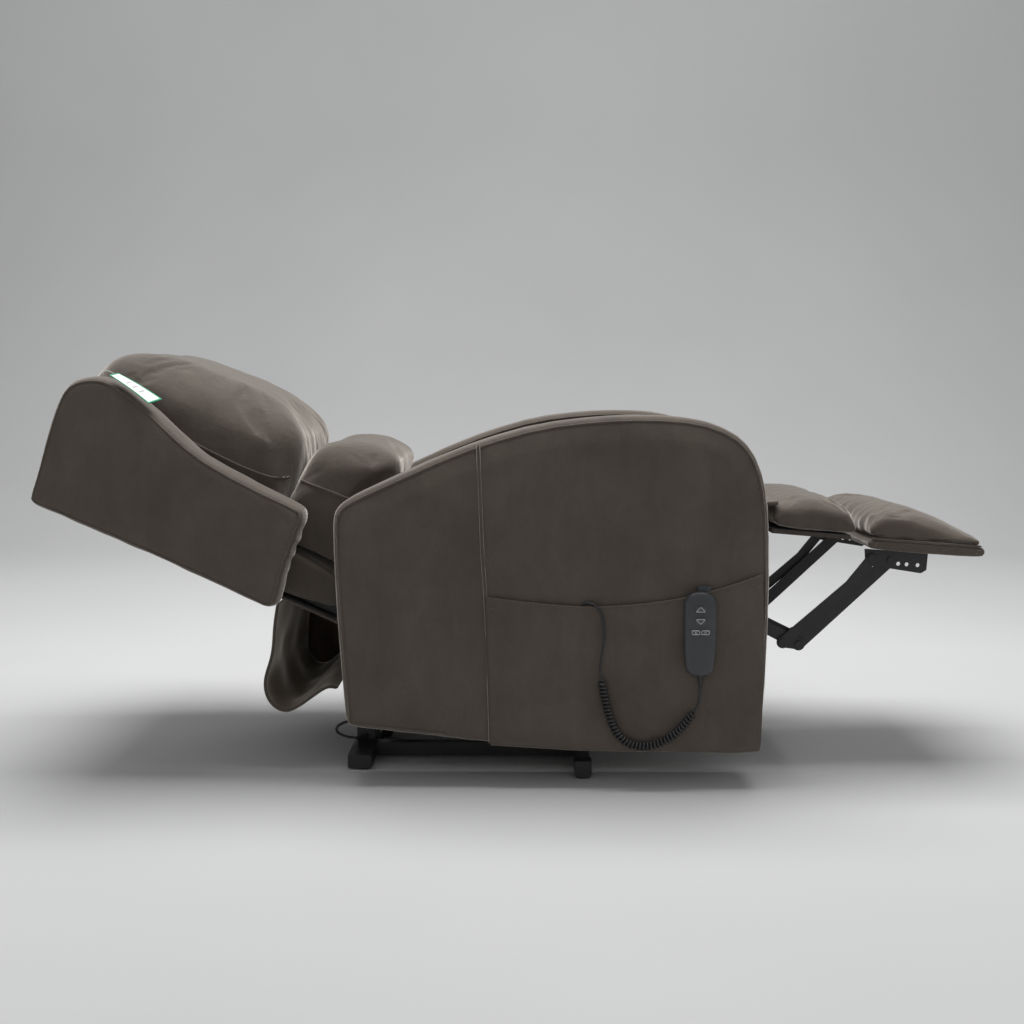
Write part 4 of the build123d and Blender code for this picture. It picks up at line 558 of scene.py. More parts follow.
def make_weave(name, colour, threads):
    """Plain weave: two crossing sets of threads, with slubs."""
    cloth = Finish(name)
    where = cloth.place((threads, threads, threads))
    warp = cloth.node("TexWave", {"Vector": where, "Scale": 1.0, "Distortion": 0.6, "Detail": 1.0},
                      bands_direction="X").outputs["Fac"]
    weft = cloth.node("TexWave", {"Vector": where, "Scale": 1.0, "Distortion": 0.6, "Detail": 1.0},
                      bands_direction="Z").outputs["Fac"]
    height = cloth.math("MAXIMUM", warp, weft)
    slubs = cloth.noise(cloth.place((90, 90, 300)), 1.0, 3.0)
    base = cloth.ramp(slubs, [(0.3, shade(colour, 0.75)), (0.7, shade(colour, 1.25))])
    cloth.set(Base_Color=cloth.mix(0.35, base, cloth.ramp(height, [(0.2, (0.35,) * 3), (0.9, (0.65,) * 3)]),
                                   "OVERLAY"))
    cloth.set(Roughness=0.85, Normal=cloth.bump(height, 0.5, 0.0005), Sheen_Weight=0.2, Sheen_Roughness=0.5)


def make_paint(name, colour, gloss):
    """Powder coat: a fine orange peel with worn, dusty patches."""
    paint = Finish(name)
    where = paint.place()
    peel = paint.noise(where, 420.0, 2.0, 0.5)
    wear = paint.noise(where, 12.0, 6.0, 0.7)
    base = paint.ramp(wear, [(0.38, colour), (0.62, shade(colour, 1.5)), (0.80, shade(colour, 2.6))])
    rough = paint.math("MULTIPLY_ADD", wear, 0.25, gloss)
    paint.set(Base_Color=base, Roughness=rough, Metallic=0.0, Normal=paint.bump(peel, 0.25, 0.0004),
              Specular_IOR_Level=0.5)


def make_metal(name, colour, rough, brushed):
    """Plated or drawn steel: fine scratches along the bar, duller where it is handled."""
    metal = Finish(name)
    lines = metal.noise(metal.place((400, 20, 400) if brushed else (60, 60, 60)), 1.0, 4.0, 0.6)
    tint = metal.ramp(lines, [(0.3, shade(colour, 0.8)), (0.7, shade(colour, 1.15))])
    metal.set(Base_Color=tint, Metallic=1.0, Roughness=metal.math("MULTIPLY_ADD", lines, 0.2, rough))
    metal.set(Normal=metal.bump(lines, 0.15, 0.0002))


def make_plastic(name, colour, rough, grain=700.0):
    """Moulded plastic: spark-eroded grain with a little dust in it."""
    plastic = Finish(name)
    where = plastic.place()
    fine = plastic.noise(where, grain, 2.0, 0.5)
    dust = plastic.noise(where, 18.0, 4.0, 0.65)
    base = plastic.ramp(dust, [(0.4, colour), (0.75, shade(colour, 1.45))])
    plastic.set(Base_Color=base, Roughness=plastic.math("MULTIPLY_ADD", dust, 0.15, rough))
    plastic.set(Normal=plastic.bump(fine, 0.3, 0.0003))


def make_wood(name, colour):
    """Raw plywood: long grain and thin dark plies."""
    wood = Finish(name)
    grain = wood.noise(wood.place((6, 60, 60)), 1.0, 6.0, 0.6, 0.5)
    plies = wood.node("TexWave", {"Vector": wood.place((1, 260, 1)), "Scale": 1.0, "Distortion": 0.3},
                      bands_direction="Y").outputs["Fac"]
    base = wood.ramp(grain, [(0.3, shade(colour, 0.7)), (0.7, colour)])
    wood.set(Base_Color=wood.mix(0.25, base, wood.ramp(plies, [(0.4, (0.4,) * 3), (0.6, (0.6,) * 3)]),
                                 "OVERLAY"))
    wood.set(Roughness=0.7, Normal=wood.bump(grain, 0.2, 0.0006))


def make_card(name, colour, edge):
    """Printed card: a coloured border and plain grey bars, from the card's own map."""
    card = Finish(name)
    where = card.node("UVMap", uv_map="card").outputs[0]
    parts = card.node("SeparateXYZ", {"Vector": where})
    across = card.math("ABSOLUTE", card.math("SUBTRACT", parts.outputs["X"], 0.5))
    up = card.math("ABSOLUTE", card.math("SUBTRACT", parts.outputs["Y"], 0.5))
    border = card.math("MAXIMUM", card.math("GREATER_THAN", across, 0.462),
                       card.math("GREATER_THAN", up, 0.41))
    rows = card.math("GREATER_THAN", card.math("SINE", card.math("MULTIPLY", parts.outputs["X"], 40.0)), 0.55)
    inside = card.math("MULTIPLY", card.math("LESS_THAN", up, 0.22), card.math("LESS_THAN", across, 0.30))
    fibres = card.noise(card.place(), 300.0, 3.0)
    paper = card.ramp(fibres, [(0.3, shade(colour, 0.94)), (0.7, colour)])
    printed = card.mix(card.math("MULTIPLY", rows, inside), paper, (0.45, 0.47, 0.46, 1.0))
    card.set(Base_Color=card.mix(border, printed, (*edge, 1.0)), Roughness=0.55,
             Normal=card.bump(fibres, 0.1, 0.0002))


class ReclinerColours(bpy.types.PropertyGroup):
    """Colours of the recliner's finishes."""
    upholstery: bpy.props.FloatVectorProperty(name="Upholstery",
                                              description="Colour of the brushed microfibre",
                                              subtype="COLOR", min=0, max=1, default=(0.098, 0.080, 0.065))
    flap: bpy.props.FloatVectorProperty(name="Flap lining", description="Colour of the flap's inner face",
                                        subtype="COLOR", min=0, max=1, default=(0.20, 0.15, 0.11))
    steel: bpy.props.FloatVectorProperty(name="Steel", description="Colour of the powder coat",
                                         subtype="COLOR", min=0, max=1, default=(0.016, 0.016, 0.017))
    handset: bpy.props.FloatVectorProperty(name="Handset", description="Colour of the handset's shell",
                                           subtype="COLOR", min=0, max=1, default=(0.040, 0.042, 0.047))
    tag_edge: bpy.props.FloatVectorProperty(name="Tag border", description="Colour round the hang tag",
                                            subtype="COLOR", min=0, max=1, default=(0.03, 0.32, 0.17))


class ReclinerSizes(bpy.types.PropertyGroup):
    """Sizes of the upholstery and the lead, in metres."""
    seam_radius: bpy.props.FloatProperty(name="Welt radius", description="Radius of a piped seam",
                                         unit="LENGTH",
                                         default=0.0020, min=0.001, max=0.006)
    arm_roll: bpy.props.FloatProperty(name="Arm edge", description="Radius of an arm's rolled edge",
                                      unit="LENGTH",
                                      default=0.020, min=0.005, max=0.05)
    wire_radius: bpy.props.FloatProperty(name="Lead radius", description="Radius of the handset's lead",
                                         unit="LENGTH",
                                         default=0.0023, min=0.001, max=0.004)
    coil_radius: bpy.props.FloatProperty(name="Coil radius",
                                         description="From the coil's middle to its wire's middle",
                                         unit="LENGTH", default=0.0062, min=0.003, max=0.012)
    coil_pitch: bpy.props.FloatProperty(name="Coil pitch", description="Length of one turn of the coil",
                                        unit="LENGTH",
                                        default=0.0068, min=0.005, max=0.015)


class RECLINER_OT_finishes(bpy.types.Operator):
    """Make every finish and put one on each bare part"""
    bl_idname = "recliner.finishes"
    bl_label = "Finishes"

    def execute(self, context):
        colours = context.scene.recliner_colours
        make_nap("upholstery", tuple(colours.upholstery))
        make_nap("flap_lining", tuple(colours.flap), 0.6)
        make_weave("panel_cloth", shade(tuple(colours.upholstery), 0.72), 700.0)
        make_paint("black_steel", tuple(colours.steel), 0.34)
        make_metal("plated_steel", (0.50, 0.50, 0.51), 0.32, False)
        make_metal("spring_steel", (0.30, 0.31, 0.33), 0.35, False)
        make_metal("rod_chrome", (0.68, 0.68, 0.70), 0.10, True)
        make_metal("silver_ink", (0.62, 0.63, 0.64), 0.35, False)
        make_plastic("motor_plastic", (0.030, 0.030, 0.033), 0.42)
        make_plastic("cap_plastic", (0.020, 0.020, 0.021), 0.48)
        make_plastic("glide_plastic", (0.55, 0.55, 0.52), 0.35)
        make_plastic("handset_plastic", tuple(colours.handset), 0.36)
        make_plastic("button_plastic", shade(tuple(colours.handset), 1.5), 0.5)
        make_plastic("lead_rubber", (0.018, 0.018, 0.020), 0.32)
        make_wood("board_wood", (0.52, 0.38, 0.24))
        make_floor()
        make_card("tag_card", (0.86, 0.87, 0.85), tuple(colours.tag_edge))
        slots = {entry["node"]: entry["material_slot"] for entry in frame["record"]["subparts"]}
        for name, part in frame["nodes"].items():
            part.data.materials.clear()
            part.data.materials.append(FINISHES[slots[name]])
        return {"FINISHED"}


class RECLINER_OT_stage(bpy.types.Operator):
    """Make the camera, the soft lights and the pale floor"""
    bl_idname = "recliner.stage"
    bl_label = "Studio"

    def execute(self, context):
        scene = context.scene
        lens = bpy.data.cameras.new("camera")
        lens.sensor_width = 36.0
        lens.lens = 48.5
        lens.clip_end = 50.0
        camera = bpy.data.objects.new("camera", lens)
        camera.location = (0.012, -2.84, 0.725)
        aim = np.radians(5.05)
        camera.rotation_euler = (np.pi / 2 - aim, 0.0, np.radians(0.5))
        scene.collection.objects.link(camera)
        scene.camera = camera
        # The sweep is level near the chair and climbs a quarter circle behind it, then stands upright.
        turn = np.linspace(0, np.pi / 2, 24)
        bend = np.stack([3.2 + 2.2 * np.sin(turn), 2.2 * (1 - np.cos(turn))], axis=1)
        profile = np.vstack([[(-9.0, 0.0)], bend, [(5.4, 7.5)]])
        x = np.array([-12.0, -4.0, 4.0, 12.0])
        points = np.empty((len(profile), len(x), 3))
        points[..., 0] = x
        points[..., 1] = profile[:, :1]
        points[..., 2] = profile[:, 1:]
        floor = finish_mesh("studio_sweep", points.reshape(-1, 3), grid_faces(len(profile), len(x)),
                            "studio_floor")
        world = bpy.data.worlds.new("studio")
        scene.world = world
        world.use_nodes = True
        world.node_tree.nodes["Background"].inputs[0].default_value = (0.98, 0.99, 1.0, 1.0)
        world.node_tree.nodes["Background"].inputs[1].default_value = 0.33
        lights = [("top_softbox", (0.0, 0.3, 3.6), 3.0, 2.4, 135.0),
                  ("rear_softbox", (-0.8, 3.0, 3.0), 3.6, 1.6, 14.0),
                  ("front_fill", (0.6, -4.2, 2.6), 3.0, 2.0, 8.0)]
        lights = [light + ((0.0, 0.0, 0.4),) for light in lights] + [("wall_wash", (0.0, 2.0, 5.4), 7.0, 1.0,
                                                                      84.0, (0.0, 5.4, 3.0))]
        for name, where, width, height, power, target in lights:
            data = bpy.data.lights.new(name, "AREA")
            data.shape = "RECTANGLE"
            data.size = width
            data.size_y = height
            data.energy = power
            light = bpy.data.objects.new(name, data)
            light.location = where
            light.rotation_euler = (Vector(target) - Vector(where)).to_track_quat("-Z", "Y").to_euler()
            scene.collection.objects.link(light)
        scene.view_settings.view_transform = "Standard"
        return {"FINISHED"}


def make_floor():
    """Painted studio floor with the faintest cloud to it."""
    floor = Finish("studio_floor")
    cloud = floor.noise(floor.place(), 0.8, 3.0)
    floor.set(Base_Color=floor.ramp(cloud, [(0.3, (0.590, 0.591, 0.593)), (0.7, (0.620, 0.621, 0.623))]),
              Roughness=0.9)
    floor.set(Specular_IOR_Level=0.1)


def route(name, points):
    """A smooth open line: an order 3 spline that starts and ends at its end points."""
    data = bpy.data.curves.new(name, "CURVE")
    data.dimensions = "3D"
    data.resolution_u = 6
    spline = data.splines.new("NURBS")
    spline.points.add(len(points) - 1)
    weights = np.ones((len(points), 4))
    weights[:, :3] = points
    spline.points.foreach_set("co", weights.ravel())
    spline.order_u = 3
    spline.use_endpoint_u = True
    cord = bpy.data.objects.new(name, data)
    bpy.context.scene.collection.objects.link(cord)
    return cord


def drawn_line(name, points):
    """The points that a smooth line runs through, as Blender draws it."""
    cord = route(name, points)
    mesh = bpy.data.meshes.new_from_object(cord)
    line = np.empty(len(mesh.vertices) * 3)
    mesh.vertices.foreach_get("co", line)
    bpy.data.objects.remove(cord)
    bpy.data.meshes.remove(mesh)
    return line.reshape(-1, 3)


def curl(line, radius, pitch, per_turn=12):
    """Points of a helix round a line, which opens out from it and closes back on it at its ends."""
    length = np.sum(np.linalg.norm(np.diff(line, axis=0), axis=1))
    turns = int(length / pitch)
    centre = evenly(line, turns * per_turn + 1, False)
    along = np.gradient(centre, axis=0)
    along /= np.linalg.norm(along, axis=1, keepdims=True)
    side = np.cross(along, [[0.0, 1.0, 0.0]])
    side /= np.linalg.norm(side, axis=1, keepdims=True)
    up = np.cross(side, along)
    angle = np.arange(len(centre)) * 2 * np.pi / per_turn
    share = np.arange(len(centre)) / per_turn
    width = radius * np.minimum(ease(share, -0.2, 0.8), ease(share[::-1], -0.2, 0.8))
    return centre + (np.cos(angle) * width)[:, None] * side + (np.sin(angle) * width)[:, None] * up


class RECLINER_OT_lead(bpy.types.Operator):
    """Make the handset's curly lead"""
    bl_idname = "recliner.lead"
    bl_label = "Leads"

    def execute(self, context):
        sizes = context.scene.recliner_sizes
        coil = curl(drawn_line("coil_route", COIL_ROUTE), sizes.coil_radius, sizes.coil_pitch)
        points = np.vstack([LOWER_LEAD[:-1], coil, UPPER_LEAD[1:]])
        lead = route("handset_lead", points)
        lead.data.bevel_depth = sizes.wire_radius
        lead.data.bevel_resolution = 3
        lead.data.resolution_u = 2
        lead.data.use_fill_caps = True
        lead.data.materials.append(FINISHES["lead_rubber"])
        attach(lead, "chair")
        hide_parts("handset_lead_lower", "handset_lead_coil", "handset_lead_upper")
        line = drawn_line("lead_measure", points)
        return {"FINISHED"}


def arm_face_height(points):
    """How far out an arm's side panel lies: it sinks a little below the pocket's rim and swells above it."""
    rim = np.array(POCKET_RIM)
    return 0.0070 * ease(points[:, 1] - np.interp(points[:, 0], rim[:, 0], rim[:, 1]), -0.005, 0.150)


def seam_ridge(name, line, lift, slot, body, side=-1.0, outer=None):
    """A flat-felled seam: a low ribbon along a side-view line, with a groove down its middle."""
    line = evenly(rounded(line, 2, False), max(int(np.sum(np.linalg.norm(np.diff(np.asarray(line), axis=0),
                                                                         axis=1)) / 0.006), 6), False)
    along = np.gradient(line, axis=0)
    along /= np.linalg.norm(along, axis=1, keepdims=True)
    square = np.stack([-along[:, 1], along[:, 0]], axis=1)
    across = np.array([-2.8, -2.0, -1.0, -0.4, 0.0, 0.4, 1.0, 2.0, 2.8]) / 1000
    height = np.array([-1.5, 0.0, 0.35, 0.1, -0.6, 0.1, 0.35, 0.0, -1.5]) / 1000
    flat = line[:, None] + across[None, :, None] * square[:, None]
    points = np.empty(flat.shape[:2] + (3,))
    points[..., 0] = flat[..., 0]
    points[..., 2] = flat[..., 1]
    points[..., 1] = side * (outer + lift(line)[:, None] + height)
    piece = finish_mesh(name, points.reshape(-1, 3), grid_faces(len(line), len(across)), slot)
    solid = piece.modifiers.new("thick", "SOLIDIFY")
    solid.thickness = 0.0012
    solid.offset = 0.0
    bake(piece)
    fix_normals(piece)
    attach(piece, body)
    return piece


def edge_line(outline, inset, step=0.006, rounds=2, soft=0.004):
    """An outline drawn in by a distance, as an even closed line."""
    loop = rounded(outline, rounds, True)
    girth = np.sum(np.linalg.norm(np.roll(loop, -1, axis=0) - loop, axis=1))
    loop = evenly(loop, int(girth / step), True)
    return loop - inset * settled(outward(loop), girth / len(loop), soft)


def side_line(flat, y):
    """A side-view line at one distance from the chair's middle."""
    return np.stack([flat[:, 0], np.broadcast_to(y, len(flat)), flat[:, 1]], axis=1)


class RECLINER_OT_arms(bpy.types.Operator):
    """Make both upholstered arms with their welts and panel seams"""
    bl_idname = "recliner.arms"
    bl_label = "Arms"

    def execute(self, context):
        sizes = context.scene.recliner_sizes
        roll = sizes.arm_roll
        outer = ARM_OUTER - 0.0105
        for side, word in ((1.0, "left"), (-1.0, "right")):
            low, high = sorted((side * ARM_INNER, side * outer))
            arm = padded_loop(f"arm_{word}", ARM_OUTLINE, low, high, roll, 0.0, 0.0, "upholstery",
                              step=0.0065, rounds=1)
            evened(arm, 0.0055)
            points = positions(arm)
            flat = points[:, ::2]
            inside = ease(near_line(flat, np.vstack([edge_line(ARM_OUTLINE, 0.0),
                                                     edge_line(ARM_OUTLINE, 0.0)[:1]])), 0.012, 0.05)
            out = ease(side * points[:, 1], outer - 0.004, outer)
            points[:, 1] += side * out * arm_face_height(flat) * inside
            place(arm, points)
            wave = 0.0011 * ripple(points, 0.16, 3) + 0.0005 * ripple(points, 0.055, 4)
            hem = ease(0.19 - flat[:, 1], 0.0, 0.10) * 0.0015 * ripple(points * [3.0, 1.0, 0.6], 0.12, 5)
            seam = -0.0016 * np.exp(-(near_line(flat, np.array(ARM_SEAM)) / 0.006) ** 2) * out
            swell(arm, (wave + hem) * (0.4 + 0.6 * inside) + seam)
            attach(arm, "chair")
            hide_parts(f"arm_cover_{word}")
            depth = roll * (1 - np.cos(np.arcsin(1 - 0.010 / roll)))
            loop = edge_line(ARM_OUTLINE, 0.010, rounds=1, soft=0.9 * roll)
            upper = loop[(loop[:, 1] > 0.10) | (loop[:, 0] > 0.43)]
            start = int(np.argmax(np.linalg.norm(np.roll(upper, 1, axis=0) - upper, axis=1)))
            upper = np.roll(upper, -start, axis=0)
            for place_y, label in ((outer - depth, "outer"), (ARM_INNER + depth, "inner")):
                cord_along(f"arm_welt_{label}_{word}", side_line(upper, side * place_y), sizes.seam_radius,
                           "upholstery", "chair")
            seam_ridge(f"arm_seam_{word}", ARM_SEAM, arm_face_height, "upholstery", "chair", side, outer)
        return {"FINISHED"}


class RECLINER_OT_pocket(bpy.types.Operator):
    """Make the side pocket's cloth with its turned hem"""
    bl_idname = "recliner.pocket"
    bl_label = "Side pocket"

    def execute(self, context):
        columns, rows = 150, 90
        rim = evenly(rounded(POCKET_RIM, 3, False), columns, False)
        share = np.linspace(0, 1, rows)[:, None]
        x = np.broadcast_to(rim[:, 0], (rows, columns)).copy()
        front = 0.4415 + 0.004 * np.sin(np.linspace(0, np.pi, rows))[:, None]
        base = np.interp(rim[:, 0], [-0.05, 0.10, 0.40, 0.443], POCKET_FLOOR)
        z = rim[:, 1] * (1 - share) + base * share
        seam = np.array(ARM_SEAM)[::-1]
        rear = np.interp(z[:, :1], seam[:, 1], seam[:, 0])
        x = rear + (x - rim[0, 0]) * (front - rear) / (rim[-1, 0] - rim[0, 0])
        along = np.broadcast_to(np.linspace(0, 1, columns), (rows, columns))
        edge = np.minimum(ease(along, 0.0, 0.05), ease(1 - along, 0.0, 0.04)) * ease(1 - share, 0.0, 0.10)
        # The cloth stands off the arm between its sewn edges and gapes a little where the handset pulls it.
        gape = 0.0026 * np.exp(-((along - 0.30) / 0.16) ** 2) * (1 - share) ** 3
        flat = np.stack([x.ravel(), z.ravel()], axis=1)
        folds = 0.0010 * ripple(flat * [1.0, 0.55], 0.11, 21) + 0.0005 * ripple(flat, 0.035, 22)
        y = -(0.3770 + 0.0022 * edge + gape + folds.reshape(rows, columns) * edge)
        y = np.maximum(y, -0.3804) + 0.009 * (1 - ease(z - base, 0.0, 0.016))
        points = np.stack([x, y, z], axis=2).reshape(-1, 3)
        pocket = finish_mesh("pocket", points, grid_faces(rows, columns), "upholstery")
        solid = pocket.modifiers.new("cloth", "SOLIDIFY")
        solid.thickness = 0.0024
        solid.offset = 0.0
        bake(pocket)
        fix_normals(pocket)
        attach(pocket, "chair")
        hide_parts("side_pocket")
        top = points.reshape(rows, columns, 3)[0]
        cord_along("pocket_rim", top, 0.0022, "upholstery", "chair")
        drop = np.stack([rim[:, 0], rim[:, 1] - 0.0145], axis=1)[3:-3]
        seam_ridge("pocket_hem", drop, lambda line: 0.0 * line[:, 0], "upholstery", "chair", -1.0, 0.3800)
        return {"FINISHED"}


class RECLINER_OT_handset(bpy.types.Operator):
    """Make the handset's shell, its button outlines and the boot of its lead"""
    bl_idname = "recliner.handset"
    bl_label = "Handset"

    def execute(self, context):
        low, high = (np.array(corner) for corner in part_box("handset_body"))
        middle, half = (low[0] + high[0]) / 2, (high[0] - low[0]) / 2
        outline = [(middle - half + 0.006, low[2]), (middle + half - 0.006, low[2]),
                   (middle + half - 0.001, low[2] + 0.035),
                   (middle + half, high[2] - 0.055), (middle + half, high[2]), (middle - half, high[2]),
                   (middle - half, high[2] - 0.055), (middle - half + 0.001, low[2] + 0.035)]
        shell = padded_loop("handset", outline, low[1] + 0.0003, high[1], 0.0050, 0.0, 0.0003,
                            "handset_plastic", "chair",
                            step=0.0022, rounds=3)
        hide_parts("handset_body")
        split = edge_line(outline, -0.0002, step=0.003, rounds=3)
        cord_along("handset_parting", side_line(split, (low[1] + high[1]) / 2), 0.0005, "cap_plastic",
                   "chair", 6, True)
        for name in ("raise_button", "lower_button", "recline_out_button", "recline_in_button"):
            corner, opposite = (np.array(value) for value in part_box(name))
            centre = (corner + opposite) / 2
            wide, tall = (opposite - corner)[[0, 2]] / 2
            face = corner[1] - 0.00015
            if name in ("raise_button", "lower_button"):
                point = 1.0 if name == "raise_button" else -1.0
                sign = [(-wide * 0.90, -tall * 0.66 * point), (wide * 0.90, -tall * 0.66 * point),
                        (0.0, tall * 0.90 * point)]
                sign = evenly(sign, 21, True)
                rounds = 1
            else:
                inner = wide if name == "recline_out_button" else -wide
                sign = [(inner * 0.9, -tall * 0.62), (-inner * 0.95, -tall * 0.62),
                        (-inner * 0.95, tall * 0.62), (inner * 0.9, tall * 0.62)]
                sign = evenly(sign, 16, True)
                rounds = 1
            loop = evenly(rounded(np.array(sign) + centre[[0, 2]], rounds, True), 60, True)
            cord_along(name + "_outline", side_line(loop, face), 0.00065, "silver_ink", name, 6, True)
        for name, tilt in (("recline_out_button", -1.0), ("recline_in_button", 1.0)):
            corner, opposite = (np.array(value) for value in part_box(name))
            centre = (corner + opposite) / 2
            mark = centre[[0, 2]] + np.array([[-0.0022 * tilt, -0.0016], [0.0022 * tilt, 0.0],
                                              [-0.0022 * tilt, 0.0016]])
            cord_along(name + "_mark", side_line(evenly(mark, 13, False), corner[1] - 0.00015), 0.0004,
                       "silver_ink", name, 6)
        self.boot()
        return {"FINISHED"}

    def boot(self):
        """The boot is a tapered sleeve: its radius falls evenly to the lead, with five rounded ribs."""
        low, high = (np.array(corner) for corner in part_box("strain_relief"))
        centre = (low + high) / 2
        share = np.linspace(0, 1, 61)
        radius = 0.0054 - 0.0024 * share + 0.00035 * np.cos(share * np.pi * 10) * ease(share, 0.1, 0.3)
        radius = np.concatenate([[0.0001], radius, [0.0001]])
        height = np.concatenate([[high[2] + 0.001], high[2] + 0.001 - share * (high[2] + 0.001 - low[2]),
                                 [low[2]]])
        turn = np.linspace(0, 2 * np.pi, 24, endpoint=False)
        points = np.empty((len(radius), len(turn), 3))
        points[..., 0] = centre[0] + radius[:, None] * np.cos(turn)
        points[..., 1] = centre[1] + radius[:, None] * np.sin(turn)
        points[..., 2] = height[:, None]
        boot = finish_mesh("lead_boot", points.reshape(-1, 3), grid_faces(len(radius), len(turn), True),
                           "lead_rubber")
        fix_normals(boot)
        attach(boot, "chair")
        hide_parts("strain_relief")


def above_back(points):
    """How far (x, z) points stand forward of the reclined back's own line."""
    return (points[:, 0] - RECLINE_PIVOT[0]) * np.sin(BACK_RISE) + (points[:, 1]
                                                                    - RECLINE_PIVOT[1]) * np.cos(BACK_RISE)


class RECLINER_OT_back(bpy.types.Operator):
    """Make the back: head cushion, lower-back cushion, wings, core and rear panel"""
    bl_idname = "recliner.back"
    bl_label = "Back"

    def execute(self, context):
        half = CUSHION_HALF
        # The top panel falls away to a boxing seam half way down each end.
        forms = (("head_cushion", HEAD_OUTLINE, half + 0.008, 0.112, 0.105, 0.012),
                 ("lumbar_cushion", LUMBAR_OUTLINE, half - 0.002, 0.100, 0.085, 0.011))
        for name, outline, ends, roll, depth, cap in forms:
            fall = lambda loop: 0.10 + 0.90 * ease(above_back(loop), 0.03, 0.20)
            piece = padded_loop(name + "_soft", on_back(outline), -ends, ends, roll, 0.003, -0.002,
                                "upholstery",
                                step=0.009, depth=depth, fall=fall)
            inflate(piece, cap, lambda points: np.abs(points[:, 1]) > ends - 0.005, voxel=0.006)
            swell(piece, self.tufts(positions(piece), name))
            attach(piece, "back")
            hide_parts(name)
            line = on_back(evenly(rounded(BOXING_SEAM[name], 2, False), 60, False))
            for side, word in ((1.0, "left"), (-1.0, "right")):
                cord_along(f"{name}_welt_{word}", laid_on(piece, line, side, 0.0004), 0.0027, "upholstery",
                           "back", 8)
        self.body()
        self.wings(context.scene.recliner_sizes)
        return {"FINISHED"}

    def tufts(self, points, name):
        """Gathers that fan out from the crease between the two cushions, and slow waves over the rest."""
        place_s = -(points[:, 0] - RECLINE_PIVOT[0]) * np.cos(BACK_RISE) + (points[:, 2]
                - RECLINE_PIVOT[1]) * np.sin(BACK_RISE)
        crease_s = 0.305
        near = np.exp(-np.abs(place_s - crease_s) / 0.055)
        gathers = 0.0020 * near * ripple(np.stack([points[:, 1], 0.15 * place_s], axis=1), 0.060,
                                         31 if name == "head_cushion" else 32)
        slow = 0.0022 * ripple(points, 0.22, 33) + 0.0007 * ripple(points, 0.07, 34)
        return gathers + slow

    def body(self):
        half = CUSHION_HALF
        body = padded_loop("back_body", on_back(BODY_OUTLINE), -half, half, 0.012, 0.001, 0.0005,
                           "upholstery", step=0.010, rounds=2)
        swell(body, 0.0006 * ripple(positions(body), 0.09, 41))
        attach(body, "back")
        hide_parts("back_core")
        # The rear panel is a shallow dome over the frame, sewn down round its edge.
        columns, rows = 70, 90
        across = np.linspace(-half + 0.003, half - 0.003, columns)[None, :]
        up = np.linspace(0.113, 0.713, rows)[:, None]
        rise = (1 - (across / half) ** 8) * (1 - (2 * (up - 0.413) / 0.600) ** 8)
        flat = np.stack(np.broadcast_arrays(across, up), axis=2).reshape(-1, 2)
        n = -0.1035 - 0.0045 * rise - 0.0012 * (ripple(flat, 0.20, 42) * rise.ravel()).reshape(rows, columns)
        side = on_back(np.stack([np.broadcast_to(up, n.shape).ravel(), n.ravel()], axis=1))
        points = np.stack([side[:, 0], np.broadcast_to(across, n.shape).ravel(), side[:, 1]], axis=1)
        panel = finish_mesh("rear_panel_cloth", points, grid_faces(rows, columns), "panel_cloth")
        solid = panel.modifiers.new("cloth", "SOLIDIFY")
        solid.thickness = 0.004
        solid.offset = 0.0
        bake(panel)
        fix_normals(panel)
        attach(panel, "back")
        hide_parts("rear_panel")
        border = [(-half + 0.004, 0.114), (half - 0.004, 0.114), (half - 0.004, 0.712),
                  (-half + 0.004, 0.712)]
        loop = evenly(border, 300, True)
        side = on_back(np.stack([loop[:, 1], np.full(len(loop), -0.1045)], axis=1))
        cord_along("rear_panel_welt", np.stack([side[:, 0], loop[:, 0], side[:, 1]], axis=1), 0.0026,
                   "upholstery", "back", 8, True)

    def wings(self, sizes):
        low, high = (corner[1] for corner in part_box("wing_left"))
        for side, word in ((1.0, "left"), (-1.0, "right")):
            span = sorted((side * (low - 0.002), side * (high - 0.003)))
            wing = padded_loop(f"wing_{word}_soft", WING_OUTLINE, span[0], span[1], 0.018, 0.003, 0.003,
                               "upholstery", step=0.0062, rounds=1)
            evened(wing, 0.0045)
            points = positions(wing)
            flat = points[:, ::2]
            rim = edge_line(WING_OUTLINE, 0.0)
            inside = ease(near_line(flat, np.vstack([rim, rim[:1]])), 0.010, 0.040)
            # Gathers run in from the wing's lower end, where its cloth is drawn round the corner.
            end = np.exp(-((flat[:, 0] + 0.405) / 0.030) ** 2) * np.exp(-((flat[:, 1] - 0.44) / 0.09) ** 2)
            pleats = 0.0016 * end * np.sin(flat[:, 1] * 2 * np.pi / 0.038 + 3.0 * np.sin(flat[:, 0] * 60))
            swell(wing, 0.0016 * ripple(points, 0.19, 51) * (0.4 + 0.6 * inside)
                  + 0.0006 * ripple(points, 0.06, 52) + pleats)
            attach(wing, "back")
            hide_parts(f"wing_{word}")
            loop = edge_line(WING_OUTLINE, 0.007, rounds=1, soft=0.016)
            depth = 0.018 * (1 - np.cos(np.arcsin(1 - 0.007 / 0.018)))
            for offset, label in ((high - 0.003 - depth, "outer"), (low - 0.002 + depth, "inner")):
                cord_along(f"wing_welt_{label}_{word}", side_line(loop, side * offset),
                           sizes.seam_radius * 0.9, "upholstery", "back", 8, True)


